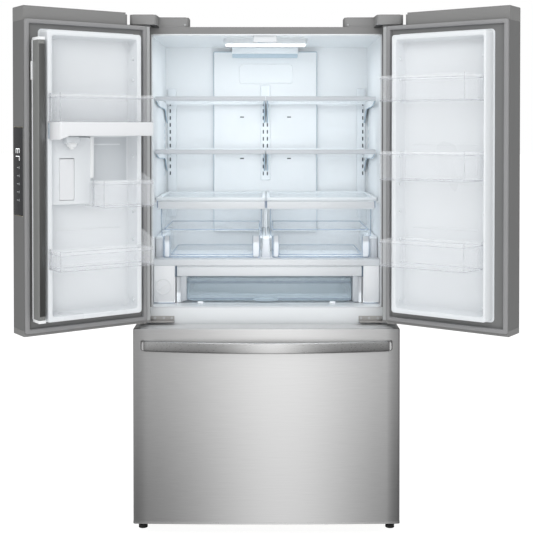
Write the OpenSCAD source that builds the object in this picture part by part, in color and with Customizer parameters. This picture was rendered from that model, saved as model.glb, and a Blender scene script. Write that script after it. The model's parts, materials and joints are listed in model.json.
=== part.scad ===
// French door refrigerator with a bottom freezer drawer.
// The origin is on the floor, at the middle of the cabinet's footprint. X is to the right, -Y is the front.
// The doors are drawn open, and each drawer is drawn shut.

/* [Cabinet] */
// Width of the cabinet, and of the two doors together
case_w = 908; // [900:1:915]
// Depth of the cabinet without its doors
case_d = 735; // [725:1:760]
// Height of the cabinet's steel top above the floor
case_top = 1749; // [1745:1:1752]
// Thickness of the side walls, steel, foam and liner together
wall_t = 46; // [44:1:48]
// Height of the cabinet's lower edge above the floor
case_base = 60; // [60:1:62]

/* [Compartments] */
// Inside depth of the fresh food compartment
fresh_d = 590; // [585:1:600]
// Height of the fresh food floor
fresh_floor = 766; // [764:1:768]
// Height of the fresh food ceiling
fresh_top = 1726; // [1724:1:1728]
// Width of the mouth of the fresh food compartment
mouth_w = 800; // [796:1:804]
// Inside depth of the freezer above its rear step
freezer_d = 560; // [555:1:565]
// Height of the freezer floor
freezer_floor = 112; // [110:1:114]
// Height of the freezer ceiling
freezer_top = 688; // [684:1:690]

/* [Doors] */
// Thickness of the doors and the drawer front at the middle of the refrigerator
door_t = 95; // [92:1:96]
// Gap between the cabinet and a shut door, which the gasket fills
door_gap = 12; // [12:1:13]
// Height of the lower edge of the doors
door_low = 737; // [736:1:738]
// Height of the upper edge of the doors
door_high = 1784; // [1780:1:1786]
// Gap between the two shut doors
door_split = 5; // [5:1:6]
// How far the front of the doors bulges over the whole width
bow = 8; // [6:1:10]
// Angle that the doors stand open
open_angle = 145; // [100:5:145]
// Distance from a door's side to its hinge pin
pin_in = 18; // [17:1:19]
// Distance from a door's inner face to its hinge pin
pin_out = 42; // [41:1:44]

/* [Freezer drawer] */
// Height of the drawer front's lower edge
drawer_low = 49; // [48:1:50]
// Height of the drawer front's upper edge
drawer_high = 715; // [713:1:716]

/* [Shelves and bins] */
// Distance from the cabinet's face to the fronts of the shelves and crispers
shelf_y = 165; // [163:1:168]
// Heights of the two pairs of shelves, to the top of the glass
shelf_z = [1506, 1312];
// Depth that the door bins reach into the cabinet
bin_reach = 150; // [140:1:152]

/* [Hidden] */
$fn = 48;

// The y coordinate of the cabinet's face, from which the pieces are measured.
face_y = -case_d / 2;
half_w = case_w / 2;
skin = 0.8;
liner_t = 2;
cavity = half_w - wall_t;
mouth = mouth_w / 2;
sill_top = fresh_floor + 6;
mouth_top = fresh_top - 5;
// The machine compartment at the lower rear, and the freezer's step over it.
machine_y = 470;
machine_top = 326;
step_y = 430;
step_z = 352;

// Doors. The pin of the left hinge, measured from the cabinet's face.
pin_x = -half_w + pin_in;
pin_y = -door_gap - pin_out;
pin_r = 6;
pin_fit = 0.05;
door_free = -door_split / 2;
front_y = -door_gap - door_t;
hinge_round = 8;
free_round = 8;
// The doors' fronts lie on one wide arc.
bow_r = (half_w * half_w + bow * bow) / (2 * bow);
bow_cy = front_y + bow_r;
// How far the outline's pieces run into each other.
lap = 0.5;
// The hinge side of a door is lower, to make room for the hinge arm.
notch_x = pin_x + 75;
notch_z = case_top - 5;
// The edge of the steel on a door's inner face, under the gasket.
rim_x = [-half_w + 25, door_free - 9];
rim_z = [door_low + 13, case_top - 14];
gasket_w = 14;
gasket_y = [-door_gap, -1];
// The raised rim of a door liner.
dyke_x = [-mouth + 7, -57];
dyke_z = [sill_top + 8, mouth_top - 14];
dyke_y = 45;
dyke_w = 18;
dyke_r = 10;

// The folding bar, with its door shut.
bar_pivot = [-30.5, 5];
bar_x = [-34.5, 15.5];
bar_y = [1, 23];
bar_z = [782, 1682];
bar_pin_r = 3;
bar_fold = 90;

// The dispenser paddle's pin, as distances from the face and the floor, with the door shut.
paddle_at = [12, 1308];
paddle_pin_r = 2;

// Drawers.
crisper_z = [925, 1131];
crisper_trim_z = 1102;
crisper_back = 545;
// The front of the air duct, the depth and heights of the shelf tracks, and the place of the shelves' rear bars.
duct_y = 570;
track_d = 8;
track_z = [1176, 1575];
shelf_back = 538;
crisper_ledge = 1001;
deli_y = 110;
beam_z = [892, 921];
filter_at = [-371, 825];
filter_r = 27;
bay_left = -329;
bay_right = 348;

// Feet, rollers and machine parts.
foot_x = 432;
foot_r = 16;
stem_r = 5;
run_fit = 0.05;
roller_y = 660;
roller_r = 19;
axle_r = 4;
fan_at = [-60, 600, 190];
fan_shaft_r = 3;
ice_fan_at = [0, 508, 620];
// How far the water stub stands out of the back, and the bore of the cord gland.
stub_out = 16;
gland_r = 4.5;
screw_r = 2.4;
screw_top = [[-400, 30], [-400, 70], [-330, 50]];
screw_mid = [[-389, 734], [-358, 734], [-330, 734]];

module at_face() translate([0, face_y, 0]) children();
module box(x, y, z) translate([x[0], y[0], z[0]]) cube([x[1] - x[0], y[1] - y[0], z[1] - z[0]]);
module slab(z) translate([0, 0, z[0]]) linear_extrude(z[1] - z[0]) children();
module front_on(y) translate([0, y[1], 0]) rotate([90, 0, 0]) linear_extrude(y[1] - y[0]) children();
module side_on(x) translate([x[0], 0, 0]) rotate([90, 0, 90]) linear_extrude(x[1] - x[0]) children();
module both() {
    children();
    mirror([1, 0, 0]) children();
}
module rect(x, y) translate([x[0], y[0]]) square([x[1] - x[0], y[1] - y[0]]);
module rounded(x, y, r) {
    rect([x[0] + r, x[1] - r], y);
    rect(x, [y[0] + r, y[1] - r]);
    for (a = [x[0] + r, x[1] - r], b = [y[0] + r, y[1] - r]) translate([a, b]) circle(r);
}
module rim(x, y, r, w) difference() {
    rounded(x, y, r);
    rounded([x[0] + w, x[1] - w], [y[0] + w, y[1] - w], max(r - w, 1));
}
// A rectangular tube that runs from front to back.
module tube_on(y, x, z, wall) front_on(y) difference() {
    rect(x, z);
    rect([x[0] + wall, x[1] - wall], [z[0] + wall, z[1] - wall]);
}
// A bar that bulges towards -Y over its length, with a foot at each end.
module bow_bar(length, height, rise, thick, foot) {
    r = (length * length / 4 + rise * rise) / (2 * rise);
    slab([-height / 2, height / 2]) {
        intersection() {
            difference() {
                translate([0, r - rise - foot]) circle(r, $fn = 96);
                translate([0, r - rise - foot]) circle(r - thick, $fn = 96);
            }
            rect([-length / 2, length / 2], [-rise - foot - 1, 0]);
        }
        for (s = [-1, 1]) translate([s * (length / 2 - 16), 0]) rect([-16, 16], [-foot - 2, 0]);
    }
}
module left_open() at_face() translate([pin_x, pin_y, 0]) rotate([0, 0, -open_angle])
    translate([-pin_x, -pin_y, 0]) children();
module right_open() mirror([1, 0, 0]) left_open() children();

// ---- Cabinet ----
module cabinet_case() color("darkgray") at_face() difference() {
    box([-half_w, half_w], [0, case_d], [case_base, case_top]);
    box([-half_w + skin, half_w - skin], [skin, case_d - skin], [case_base - 1, case_top - skin]);
    box([-mouth - 2, mouth + 2], [-1, 2], [sill_top, mouth_top + 2]);
    box([-mouth - 2, mouth + 2], [-1, 2], [freezer_floor, freezer_top]);
    box([-half_w + skin, half_w - skin], [-1, skin + 0.1], [freezer_top + 2, sill_top + 0.2]);
    box([-430, 430], [case_d - 2, case_d + 1], [case_base - 1, machine_top + 4]);
    screw_holes();
    inlet_hole(8);
}
module screw_holes() {
    both() for (p = screw_top) translate([p[0], p[1], case_top - 14]) cylinder(r = screw_r + 0.1, h = 20);
    both() for (p = screw_mid) translate([p[0], 14, p[1]]) rotate([90, 0, 0])
        cylinder(r = screw_r + 0.1, h = 20);
}
module inlet_hole(r) translate([330, case_d - 40, 360]) rotate([-90, 0, 0]) cylinder(r = r, h = 60);

module cabinet_insulation() color("khaki") at_face() {
    joint = 0.4;
    in_x = cavity + liner_t;
    out_x = half_w - skin - 0.2;
    back = case_d - skin - 0.2;
    front = skin + liner_t + 4;
    under = case_base + 2;
    over = case_top - skin - 0.2;
    difference() {
        union() {
            both() box([in_x + joint, out_x], [front, back], [under, over]);
            box([-in_x, in_x], [front, back], [fresh_top + liner_t + joint, over]);
            box([-in_x, in_x], [fresh_d + liner_t + joint, back], [fresh_floor, fresh_top + liner_t]);
            box([-in_x, in_x], [front, back], [freezer_top + liner_t + joint, fresh_floor - liner_t - joint]);
            box([-in_x, in_x], [freezer_d + liner_t + joint, back], [step_z, freezer_top + liner_t]);
            box([-in_x, in_x], [step_y + liner_t + joint, back], [machine_top, step_z - liner_t - joint]);
            box([-in_x, in_x], [step_y + liner_t + joint, machine_y], [under, machine_top - joint]);
            box([-in_x, in_x], [front, step_y + liner_t], [under, freezer_floor - liner_t - joint]);
        }
        screw_holes();
        inlet_hole(8);
        both() box([in_x - 1, out_x - 12], [machine_y, back + 1], [under - 1, machine_top - joint]);
    }
}
module fresh_food_liner() color("aliceblue") at_face() difference() {
    union() {
        difference() {
            box([-cavity - liner_t, cavity + liner_t], [skin, fresh_d + liner_t],
                [fresh_floor - liner_t, fresh_top + liner_t]);
            box([-cavity, cavity], [6.8, fresh_d], [fresh_floor, fresh_top]);
            box([-mouth, mouth], [0, 8], [sill_top, mouth_top]);
        }
        box([-half_w + 1, half_w - 1], [0, skin + 1], [freezer_top + 2.2, sill_top]);
        // Ribs on the side walls that the crisper cover rests on.
        both() box([cavity - 5, cavity + 1], [shelf_y, fresh_d - 10], [1126, 1133.5]);
        // Runners under the deli drawer.
        both() box([230, 246], [deli_y + 6, fresh_d - 20], [fresh_floor - 1, fresh_floor + 6.6]);
    }
    screw_holes();
}
module freezer_profile(grow) polygon([
    [-1 - grow, freezer_floor - grow], [step_y + grow, freezer_floor - grow],
    [step_y + grow, step_z - grow], [freezer_d + grow, step_z - grow],
    [freezer_d + grow, freezer_top + grow], [-1 - grow, freezer_top + grow]
]);
module freezer_liner() color("whitesmoke") at_face() difference() {
    intersection() {
        side_on([-cavity - liner_t, cavity + liner_t]) freezer_profile(liner_t);
        box([-half_w, half_w], [skin, case_d], [0, case_top]);
    }
    side_on([-cavity, cavity]) freezer_profile(0);
}
module base_frame() color("dimgray") at_face() {
    difference() {
        union() {
            both() box([400, 448], [0, 725], [42, case_base]);
            box([-448, 448], [-16, 30], [24, 44]);
            box([-448, 448], [machine_y + 10, 725], [case_base - 5, case_base]);
            // Motor bracket for the condenser fan.
            box([fan_at[0] - 32, fan_at[0] - 28], [fan_at[1] - 30, fan_at[1] + 30],
                [case_base - 1, fan_at[2] + 26]);
            translate([fan_at[0] - 60, fan_at[1], fan_at[2]]) rotate([0, 90, 0]) cylinder(r = 24, h = 40);
            translate([fan_at[0] - 22, fan_at[1], fan_at[2]]) rotate([0, 90, 0])
                cylinder(r = fan_shaft_r, h = 34);
            // Roller cheeks and axles.
            both() {
                box([418, 421], [roller_y - 15, roller_y + 15], [8, 43]);
                box([443, 446], [roller_y - 15, roller_y + 15], [8, 43]);
                translate([419, roller_y, roller_r]) rotate([0, 90, 0]) cylinder(r = axle_r, h = 26);
            }
        }
        both() translate([foot_x, 0, 20]) cylinder(r = stem_r + run_fit, h = 45);
    }
}
module foot() at_face() {
    translate([foot_x, 0, 0]) cylinder(r = foot_r, h = 10);
    translate([foot_x, 0, 9]) cylinder(r = 9, h = 5, $fn = 6);
    translate([foot_x, 0, 13]) cylinder(r = stem_r, h = 44);
}
module left_foot() color("black") mirror([1, 0, 0]) foot();
module right_foot() color("black") foot();
module roller() at_face() difference() {
    translate([423, roller_y, roller_r]) rotate([0, 90, 0]) cylinder(r = roller_r, h = 18);
    translate([422, roller_y, roller_r]) rotate([0, 90, 0]) cylinder(r = axle_r + run_fit, h = 20);
}
module left_roller() color("dimgray") mirror([1, 0, 0]) roller();
module right_roller() color("dimgray") roller();

module rear_cover() color("gray") at_face() difference() {
    union() {
        box([-428, 428], [case_d - 0.9, case_d], [case_base + 2, machine_top + 2]);
        // Water inlet plate and its threaded stub.
        translate([330, case_d - 30, 360]) rotate([-90, 0, 0]) cylinder(r = 7, h = 30 + stub_out);
        box([300, 360], [case_d, case_d + 2], [machine_top - 4, 385]);
        // Gland where the supply cord comes out.
        translate([-380, case_d - 12, 88]) rotate([-90, 0, 0]) cylinder(r = 11, h = 12 + 8);
    }
    translate([-380, case_d - 15, 88]) rotate([-90, 0, 0]) cylinder(r = gland_r, h = 40);
    for (row = [0 : 4], col = [-6 : 6])
        box([col * 60 - 22, col * 60 + 22], [case_d - 3, case_d + 1], [110 + row * 36, 118 + row * 36]);
    translate([330, case_d - 35, 360]) rotate([-90, 0, 0]) cylinder(r = 3, h = 60);
}
module compressor() color("black") at_face() translate([-260, 610, case_base]) {
    box([-75, 75], [-60, 60], [0, 3]);
    for (x = [-58, 58], y = [-46, 46]) translate([x, y, 3]) cylinder(r = 12, h = 16);
    translate([0, 0, 19]) rotate_extrude() {
        square([54, 150]);
        translate([0, 20]) square([74, 110]);
        for (z = [20, 130]) translate([54, z]) circle(20);
    }
    box([60, 92], [-25, 25], [60, 130]);
    translate([-40, 0, 160]) cylinder(r = 5, h = 40);
    box([-60, 60], [-45, 45], [17, 24]);
}
module tube_row(x, passes, pitch, r) {
    for (i = [0 : passes - 1]) translate([x[0], 0, i * pitch]) rotate([0, 90, 0])
        cylinder(r = r, h = x[1] - x[0]);
    for (i = [0 : passes - 2]) translate([i % 2 == 0 ? x[1] : x[0], 0, (i + 0.5) * pitch])
        rotate([90, i % 2 == 0 ? 0 : 180, 0]) rotate([0, 0, -90])
            rotate_extrude(angle = 180) translate([pitch / 2, 0]) circle(r);
}
module condenser_coil() color("darkgoldenrod") at_face() {
    for (y = [545, 575, 605]) translate([0, y, 90]) tube_row([40, 330], 8, 26, 3.2);
    for (x = [60, 310]) box([x - 1, x + 1], [538, 612], [case_base, 285]);
}
module fan(r, hub, blades, depth, shaft) difference() {
    union() {
        cylinder(r = hub, h = depth);
        for (i = [0 : blades - 1]) rotate([0, 0, i * 360 / blades]) translate([hub - 2, 0, depth / 2])
            rotate([28, 0, 0]) translate([0, -r / 4, -1]) cube([r - hub, r / 2, 2]);
    }
    translate([0, 0, -1]) cylinder(r = shaft + run_fit, h = depth + 2);
}
module condenser_fan() color("gainsboro") at_face() translate([fan_at[0] - 10, fan_at[1], fan_at[2]])
    rotate([0, 90, 0]) fan(62, 18, 5, 18, fan_shaft_r);
module evaporator_coil() color("silver") at_face() {
    for (y = [522, 545]) translate([0, y, 380]) tube_row([-330, 330], 6, 26, 4);
    for (i = [-10 : 10]) box([i * 31 - 0.5, i * 31 + 0.5], [512, 555], [370, 520]);
}
module evaporator_cover() color("white") at_face() {
    difference() {
        box([-404, 404], [498, 501], [step_z + 2, freezer_top - 3]);
        for (row = [0 : 3], col = [-4 : 4])
            box([col * 80 - 28, col * 80 + 28], [490, 510], [380 + row * 16, 386 + row * 16]);
        translate([ice_fan_at[0], 490, ice_fan_at[2]]) rotate([-90, 0, 0]) cylinder(r = 22, h = 20);
        for (a = [0 : 30 : 330]) translate([ice_fan_at[0], 490, ice_fan_at[2]]) rotate([0, a, 0])
            box([28, 48], [0, 20], [-3, 3]);
    }
    for (x = [-380, 378]) box([x, x + 2], [501, freezer_d - 1], [step_z + 4, freezer_top - 6]);
    // The fan motor stands behind the cover on a stem across its opening.
    box([ice_fan_at[0] - 60, ice_fan_at[0] + 60], [540, 544], [ice_fan_at[2] - 12, ice_fan_at[2] + 12]);
    for (s = [-58, 54]) box([ice_fan_at[0] + s, ice_fan_at[0] + s + 4], [501, 541],
        [ice_fan_at[2] - 6, ice_fan_at[2] + 6]);
    translate([ice_fan_at[0], 512, ice_fan_at[2]]) rotate([-90, 0, 0]) cylinder(r = 2.5, h = 30);
}
module evaporator_fan() color("gainsboro") at_face()
    translate([ice_fan_at[0], 532, ice_fan_at[2]]) rotate([90, 0, 0]) fan(46, 13, 4, 14, 2.5);

// ---- Fresh food fittings ----
module air_duct_cover() color("white") at_face() {
    difference() {
        box([-212, 202], [duct_y, fresh_d], [980, 1706]);
        box([-208, 198], [duct_y + 4, fresh_d + 1], [984, 1702]);
        for (z = [1442, 1275], x = [-99, 91]) box([x - 8, x + 8], [duct_y - 5, duct_y + 6], [z, z + 5]);
    }
    // Hood at the top, and a blank plate under it.
    box([-139, 127], [duct_y - 14, duct_y + 2], [1682, fresh_top - 1]);
    box([-111, 107], [duct_y - 2, duct_y + 1], [1578, 1658]);
}
module ceiling_light() color("white") at_face() {
    box([-152, 146], [180, 236], [1710, fresh_top]);
    difference() {
        box([-148, 142], [182, 230], [1695, 1711]);
        box([-145, 139], [185, 227], [1698, 1709]);
    }
}
module mullion_guide() color("white") at_face() difference() {
    box([-46, 37], [8, 50], [1694, fresh_top]);
    translate([-30, 52, 1690]) cylinder(r = 34, h = 16);
    box([-28, 37.5], [7, 20], [1690, 1702]);
}
module shelf_track(x, back) {
    top_slot = 1560;
    slot_pitch = 26;
    difference() {
        box([x - 5, x + 5], [back - track_d, back], track_z);
        for (i = [0 : 14]) box([x - 2, x + 2], [back - track_d - 1, back - 2],
            [top_slot - i * slot_pitch, top_slot + 12 - i * slot_pitch]);
    }
}
module shelf_tracks() color("silver") at_face() {
    both() shelf_track(-387, fresh_d);
    for (x = [-12, 8]) shelf_track(x, duct_y);
}
module shelf_arm(x, z, back) side_on([x - 4, x + 4]) polygon([
    [shelf_y + 6, z - 12], [back - 120, z - 24], [back, z - 52], [back, z - 4], [shelf_y + 6, z - 4]
]);
// A shelf frame, with one arm on a side track and one on a centre track.
module one_shelf_frame(side_x, centre_x, z) {
    x = [min(side_x, centre_x), max(side_x, centre_x)];
    inward = side_x < centre_x ? 4 : -4;
    box(x, [shelf_y, shelf_y + 14], [z - 12, z + 1]);
    box(x, [shelf_back, shelf_back + 14], [z - 12, z + 6]);
    shelf_arm(side_x + inward, z, fresh_d - track_d - 1);
    shelf_arm(centre_x - inward, z, duct_y - track_d - 1);
}
module shelf_frames() color("white") at_face() for (z = shelf_z) {
    one_shelf_frame(-396, -6, z);
    one_shelf_frame(394, 2, z);
}
module shelf_glass() color("lightcyan", 0.6) at_face() for (z = shelf_z, x = [[-396, -6], [2, 394]])
    box([x[0] + 0.5, x[1] - 0.5], [shelf_y + 14.2, shelf_back - 0.2], [z - 4, z]);
module crisper_cover() color("white") at_face() {
    difference() {
        box([-cavity + 1, cavity - 1], [shelf_y + 4, fresh_d - 22], [1134, 1144]);
        for (x = [[-380, -25], [21, 380]]) box(x, [shelf_y + 30, fresh_d - 40], [1138, 1145]);
    }
    // Divider between the crispers, with the ledges that they slide on.
    ledge_y = [shelf_y + 22, crisper_back];
    tube_on(ledge_y, [-12, 10], [922, 1137], 3);
    for (x = [[-45, -10], [8, 42], [-cavity + 1, -360], [356, cavity - 1]])
        tube_on(ledge_y, x, [922, crisper_ledge - 1], 3);
}
module crisper(x0, x1) {
    wall = 2.5;
    lower_x = [x0 + 40, x1 - 40];
    upper_x = [x0 + 5, x1 - 18];
    y = [shelf_y + 8, crisper_back - 5];
    difference() {
        union() {
            box(lower_x, y, [crisper_z[0], crisper_ledge + wall]);
            box(upper_x, y, [crisper_ledge, crisper_z[1] - 4]);
        }
        box([lower_x[0] + wall, lower_x[1] - wall], [y[0] + wall, y[1] - wall],
            [crisper_z[0] + wall, crisper_ledge + 10]);
        box([upper_x[0] + wall, upper_x[1] - wall], [y[0] + wall, y[1] - wall],
            [crisper_ledge + wall, crisper_z[1]]);
    }
}
module crisper_front(x0, x1) {
    box([x0, x1], [shelf_y - 6, shelf_y + 7.8], [crisper_trim_z, crisper_z[1]]);
    box([x0 + 20, x1 - 20], [shelf_y - 2, shelf_y + 7.8], [crisper_z[0] + 2, crisper_trim_z + 1]);
}
module left_crisper() color("lightblue", 0.5) at_face() crisper(-399, -7);
module left_crisper_front() color("white") at_face() crisper_front(-397, -5);
module right_crisper() color("lightblue", 0.5) at_face() mirror([1, 0, 0]) crisper(-395, -3);
module right_crisper_front() color("white") at_face() crisper_front(1, 395);

module deli_cover() color("white") at_face() {
    back = 540;
    difference() {
        union() {
            box([-cavity + 1, cavity - 1], [deli_y, deli_y + 22], beam_z);
            box([-cavity + 1, cavity - 1], [deli_y + 20, back], [beam_z[0] + 10, beam_z[0] + 16]);
            box([-cavity + 1, bay_left], [deli_y, 420], [fresh_floor + 1, beam_z[0] + 1]);
            box([bay_right, cavity - 1], [deli_y, 420], [fresh_floor + 1, beam_z[0] + 1]);
        }
        box([-cavity + 4, bay_left - 3], [deli_y + 3, 421], [fresh_floor + 4, beam_z[0] - 2]);
        box([bay_right + 3, cavity - 4], [deli_y + 3, 421], [fresh_floor + 4, beam_z[0] - 2]);
        translate([filter_at[0], deli_y - 5, filter_at[1]]) rotate([-90, 0, 0])
            cylinder(r = filter_r + 1 + run_fit, h = 20);
    }
    // Runners at the sides of the deli drawer.
    for (x = [[-318, -296], [314, 338]]) tube_on([deli_y + 6, 520], x, [fresh_floor + 0.5, 858], 3);
    // Filter head at the back of the bay, with the spigot that the filter turns on.
    box([-cavity + 3, bay_left - 2], [340, 370], [fresh_floor + 3, beam_z[0] - 1]);
    translate([filter_at[0], 318, filter_at[1]]) rotate([-90, 0, 0]) cylinder(r = 8, h = 24);
}
module water_filter() color("white") at_face() translate([filter_at[0], 0, filter_at[1]])
    rotate([-90, 0, 0]) difference() {
        union() {
            translate([0, 0, deli_y - 3]) cylinder(r = filter_r + 1, h = 12);
            translate([0, 0, deli_y + 8]) cylinder(r = filter_r - 1, h = 215);
            translate([0, 0, deli_y - 14]) rotate([0, 0, 35]) box([-20, 20], [-4, 4], [0, 12]);
        }
        translate([0, 0, 315]) cylinder(r = 8 + run_fit, h = 30);
    }
module deli_drawer() color("lightblue", 0.5) at_face() difference() {
    // It slides out over the sill.
    box([-292, 310], [deli_y + 2, 520], [sill_top + 1, 866]);
    box([-289.5, 307.5], [deli_y + 5, 517.5], [sill_top + 4, 900]);
}
module deli_front() color("white") at_face() box([-322, 342], [deli_y - 8, deli_y + 1.8], [862, 889]);

// ---- Hinges ----
module top_hinges() color("silver") at_face() both() difference() {
    union() {
        slab([case_top + 0.1, case_top + 4.1]) {
            rounded([-440, -300], [8, 88], 8);
            rect([pin_x - 9, pin_x + 26], [pin_y, 20]);
            translate([pin_x, pin_y]) circle(18);
        }
        translate([pin_x, pin_y, case_top - 34]) cylinder(r = pin_r, h = 35);
    }
    for (p = screw_top) translate([p[0], p[1], case_top - 1]) cylinder(r = screw_r + 0.1, h = 10);
}
module cover_plan(i) {
    rounded([-448 + i, -272 - i], [6 + i, 98 - i], 10 - i);
    rounded([pin_x - 30 + i, pin_x + 60 - i], [pin_y - 30 + i, 20 - i], 12 - i);
}
module top_hinge_covers() color("gray") at_face() both() difference() {
    slab([case_top + 0.2, 1783]) cover_plan(0);
    slab([case_top - 1, 1781]) cover_plan(2);
}
module middle_hinges() color("silver") at_face() both() difference() {
    union() {
        box([-404, -322], [-3.2, -0.2], [717.5, 741]);
        box([-450, -322], [-34, -0.2], [724, 728]);
        box([pin_x - 14, pin_x + 22], [pin_y, -20], [724, 728]);
        translate([pin_x, pin_y, 724]) cylinder(r = 14, h = 4);
        translate([pin_x, pin_y, 727]) cylinder(r = pin_r, h = 38);
    }
    for (p = screw_mid) translate([p[0], 5, p[1]]) rotate([90, 0, 0]) cylinder(r = screw_r + 0.1, h = 12);
}
module screw(shank) {
    cylinder(r = 4.6, h = 2.6);
    translate([0, 0, -shank]) cylinder(r = screw_r, h = shank + 1);
}
module hinge_screws() color("silver") at_face() both() {
    for (p = screw_top) translate([p[0], p[1], case_top + 4.1]) screw(16);
    for (p = screw_mid) translate([p[0], -3.2, p[1]]) rotate([90, 0, 0]) screw(14);
}

// ---- Doors ----
// A door's outline from above, shut, on the left, drawn in by i.
module door_plan(i, rear) intersection() {
    r = hinge_round - i;
    f = free_round - i;
    hinge_c = -half_w + hinge_round;
    free_c = door_free - free_round;
    hinge_cy = bow_cy - sqrt(pow(bow_r - hinge_round, 2) - hinge_c * hinge_c);
    free_cy = bow_cy - sqrt(pow(bow_r - free_round, 2) - free_c * free_c);
    union() {
        rect([-half_w + i, door_free - i], [hinge_cy, rear]);
        rect([hinge_c, door_free - i], [free_cy, rear]);
        rect([hinge_c, free_c + lap], [front_y - lap, rear]);
        translate([hinge_c, hinge_cy]) circle(r);
        translate([free_c, free_cy]) circle(f);
    }
    translate([0, bow_cy]) circle(bow_r - i, $fn = 360);
}
module door_body(i, rear) {
    slab([door_low + i, notch_z - i]) door_plan(i, rear);
    slab([notch_z - i - 1, door_high - i]) intersection() {
        door_plan(i, rear);
        rect([notch_x + i, 0], [-200, 0]);
    }
}
module hinge_holes(r) translate([pin_x, pin_y, 0]) {
    translate([0, 0, notch_z - 34]) cylinder(r = r, h = 60);
    translate([0, 0, door_low - 5]) cylinder(r = r, h = 38);
}
module door_panel() difference() {
    door_body(0, -door_gap);
    door_body(skin, -door_gap - skin);
    box(rim_x, [-door_gap - 3, 0], rim_z);
    hinge_holes(pin_r + 2);
}
module hinge_boss(grow) {
    x = [-half_w + 2 - grow, pin_x + 22 + grow];
    y = [pin_y - 20 - grow, -door_gap - 4 + grow];
    box(x, y, [notch_z - 40 - grow, notch_z - 1]);
    box(x, y, [door_low + 1, door_low + 38 + grow]);
}
module door_foam() difference() {
    door_body(skin + 0.3, -door_gap - 4.2);
    hinge_boss(0.3);
}
module door_liner() difference() {
    boss_z = [1627, 1557, 1487, 1304, 1210, 1120, 1027, 823];
    union() {
        box([rim_x[0] + 0.2, rim_x[1] - 0.2], [-door_gap - 4, -door_gap], [rim_z[0] + 0.2, rim_z[1] - 0.2]);
        front_on([-door_gap - 1, dyke_y]) rim(dyke_x, dyke_z, dyke_r, dyke_w);
        for (z = boss_z, x = [dyke_x[0] + dyke_w - 1, dyke_x[1] - dyke_w - 4])
            translate([x, 18, z]) rotate([0, 90, 0]) cylinder(r = 6, h = 5);
        hinge_boss(0);
    }
    hinge_holes(pin_r + pin_fit);
}
module door_gasket() front_on(gasket_y)
    rim([-half_w + 18, door_free - 1.5], [door_low + 6, case_top - 7], 8, gasket_w);
module door_handle() difference() {
    translate([-52, front_y + 3, (door_low + door_high) / 2 + 20]) rotate([0, 90, 0])
        bow_bar(860, 34, 30, 14, 29);
    door_body(0, -door_gap);
}

// A clear bin: narrow between the liner's rims, wider in front of them.
module bin_plan(i, x) {
    back_x = [dyke_x[0] + dyke_w + 8, dyke_x[1] - dyke_w - 8];
    rect([max(back_x[0], x[0]) + i, min(back_x[1], x[1]) - i], [-8 + i, dyke_y + 20]);
    rounded([x[0] + i, x[1] - i], [dyke_y + 3 + i, bin_reach - i], 24 - i);
}
module bin(x, z) difference() {
    wall = 3;
    slab(z) bin_plan(0, x);
    slab([z[0] + wall, z[1] + 1]) bin_plan(wall, x);
}
left_bin = [dyke_x[0] + 5, dyke_x[1] - 4];
right_bin = [dyke_x[0] + 5, dyke_x[1] - 32];
module left_door_panel() color("gray") left_open() difference() {
    door_panel();
    control_recess(0.2);
}
module control_recess(grow) box([door_free - 1.6, door_free + 0.1], [-98 - grow, -20 + grow],
    [1116 - grow, 1400 + grow]);
module left_door_foam() color("khaki") left_open() difference() {
    door_foam();
    control_recess(0.2);
}
module left_door_liner() color("white") left_open() {
    door_liner();
    // Brackets and pins of the folding bar.
    for (z = [bar_z[0] - 4.5, bar_z[1] + 0.5]) box([dyke_x[1] - 3, -25], [-door_gap, 10], [z, z + 4]);
    translate([bar_pivot[0], bar_pivot[1], bar_z[0] - 1]) cylinder(r = bar_pin_r, h = 12);
    translate([bar_pivot[0], bar_pivot[1], bar_z[1] - 11]) cylinder(r = bar_pin_r, h = 12);
}
module left_door_gasket() color("dimgray") left_open() door_gasket();
module left_door_handle() color("silver") left_open() door_handle();
module left_door_bins() color("lightblue", 0.5) left_open() {
    bin(left_bin, [1370, 1502]);
    bin(left_bin, [950, 1037]);
    bin([left_bin[0], -219], [1142, 1226]);
}
module control_panel() color("black") left_open() control_recess(0);
module dispenser_housing() color("white") left_open() {
    difference() {
        union() {
            front_on([-door_gap + 0.1, 24]) rounded([-217, -80], [1150, 1367], 10);
            box([-160, -118], [20, 62], [1324, 1362]);
            translate([-139, 48, 1304]) cylinder(r = 9, h = 26);
        }
        box([-206, -88], [-8, 30], [1164, 1318]);
        translate([-139, 48, 1295]) cylinder(r = 5, h = 60);
    }
    // The paddle hangs on this pin, between two ears.
    translate([-168, paddle_at[0], paddle_at[1]]) rotate([0, 90, 0]) cylinder(r = paddle_pin_r, h = 58);
    for (x = [-170, -112]) box([x, x + 4], [paddle_at[0] - 5, paddle_at[0] + 5], [paddle_at[1] - 5, 1319]);
}
module dispenser_paddle() color("whitesmoke") left_open() difference() {
    union() {
        translate([-162, paddle_at[0], paddle_at[1]]) rotate([0, 90, 0]) cylinder(r = 4.5, h = 46);
        box([-162, -116], [paddle_at[0] - 1.5, paddle_at[0] + 1.5], [1180, paddle_at[1]]);
    }
    translate([-163, paddle_at[0], paddle_at[1]]) rotate([0, 90, 0])
        cylinder(r = paddle_pin_r + run_fit, h = 48);
}
module bar_plan(i) rounded([bar_x[0] + i, bar_x[1] - i], [bar_y[0] + i, bar_y[1] - i], 3 - i);
module mullion_bar() color("gray") left_open() translate([bar_pivot[0], bar_pivot[1], 0])
    rotate([0, 0, bar_fold]) translate([-bar_pivot[0], -bar_pivot[1], 0]) difference() {
        slab(bar_z) bar_plan(0);
        slab([bar_z[0] + 30, bar_z[1] - 30]) bar_plan(2);
        for (z = [bar_z[0] - 1, bar_z[1] - 14]) translate([bar_pivot[0], bar_pivot[1], z])
            cylinder(r = bar_pin_r + run_fit, h = 15);
    }
module right_door_panel() color("gray") right_open() door_panel();
module right_door_foam() color("khaki") right_open() door_foam();
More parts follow.
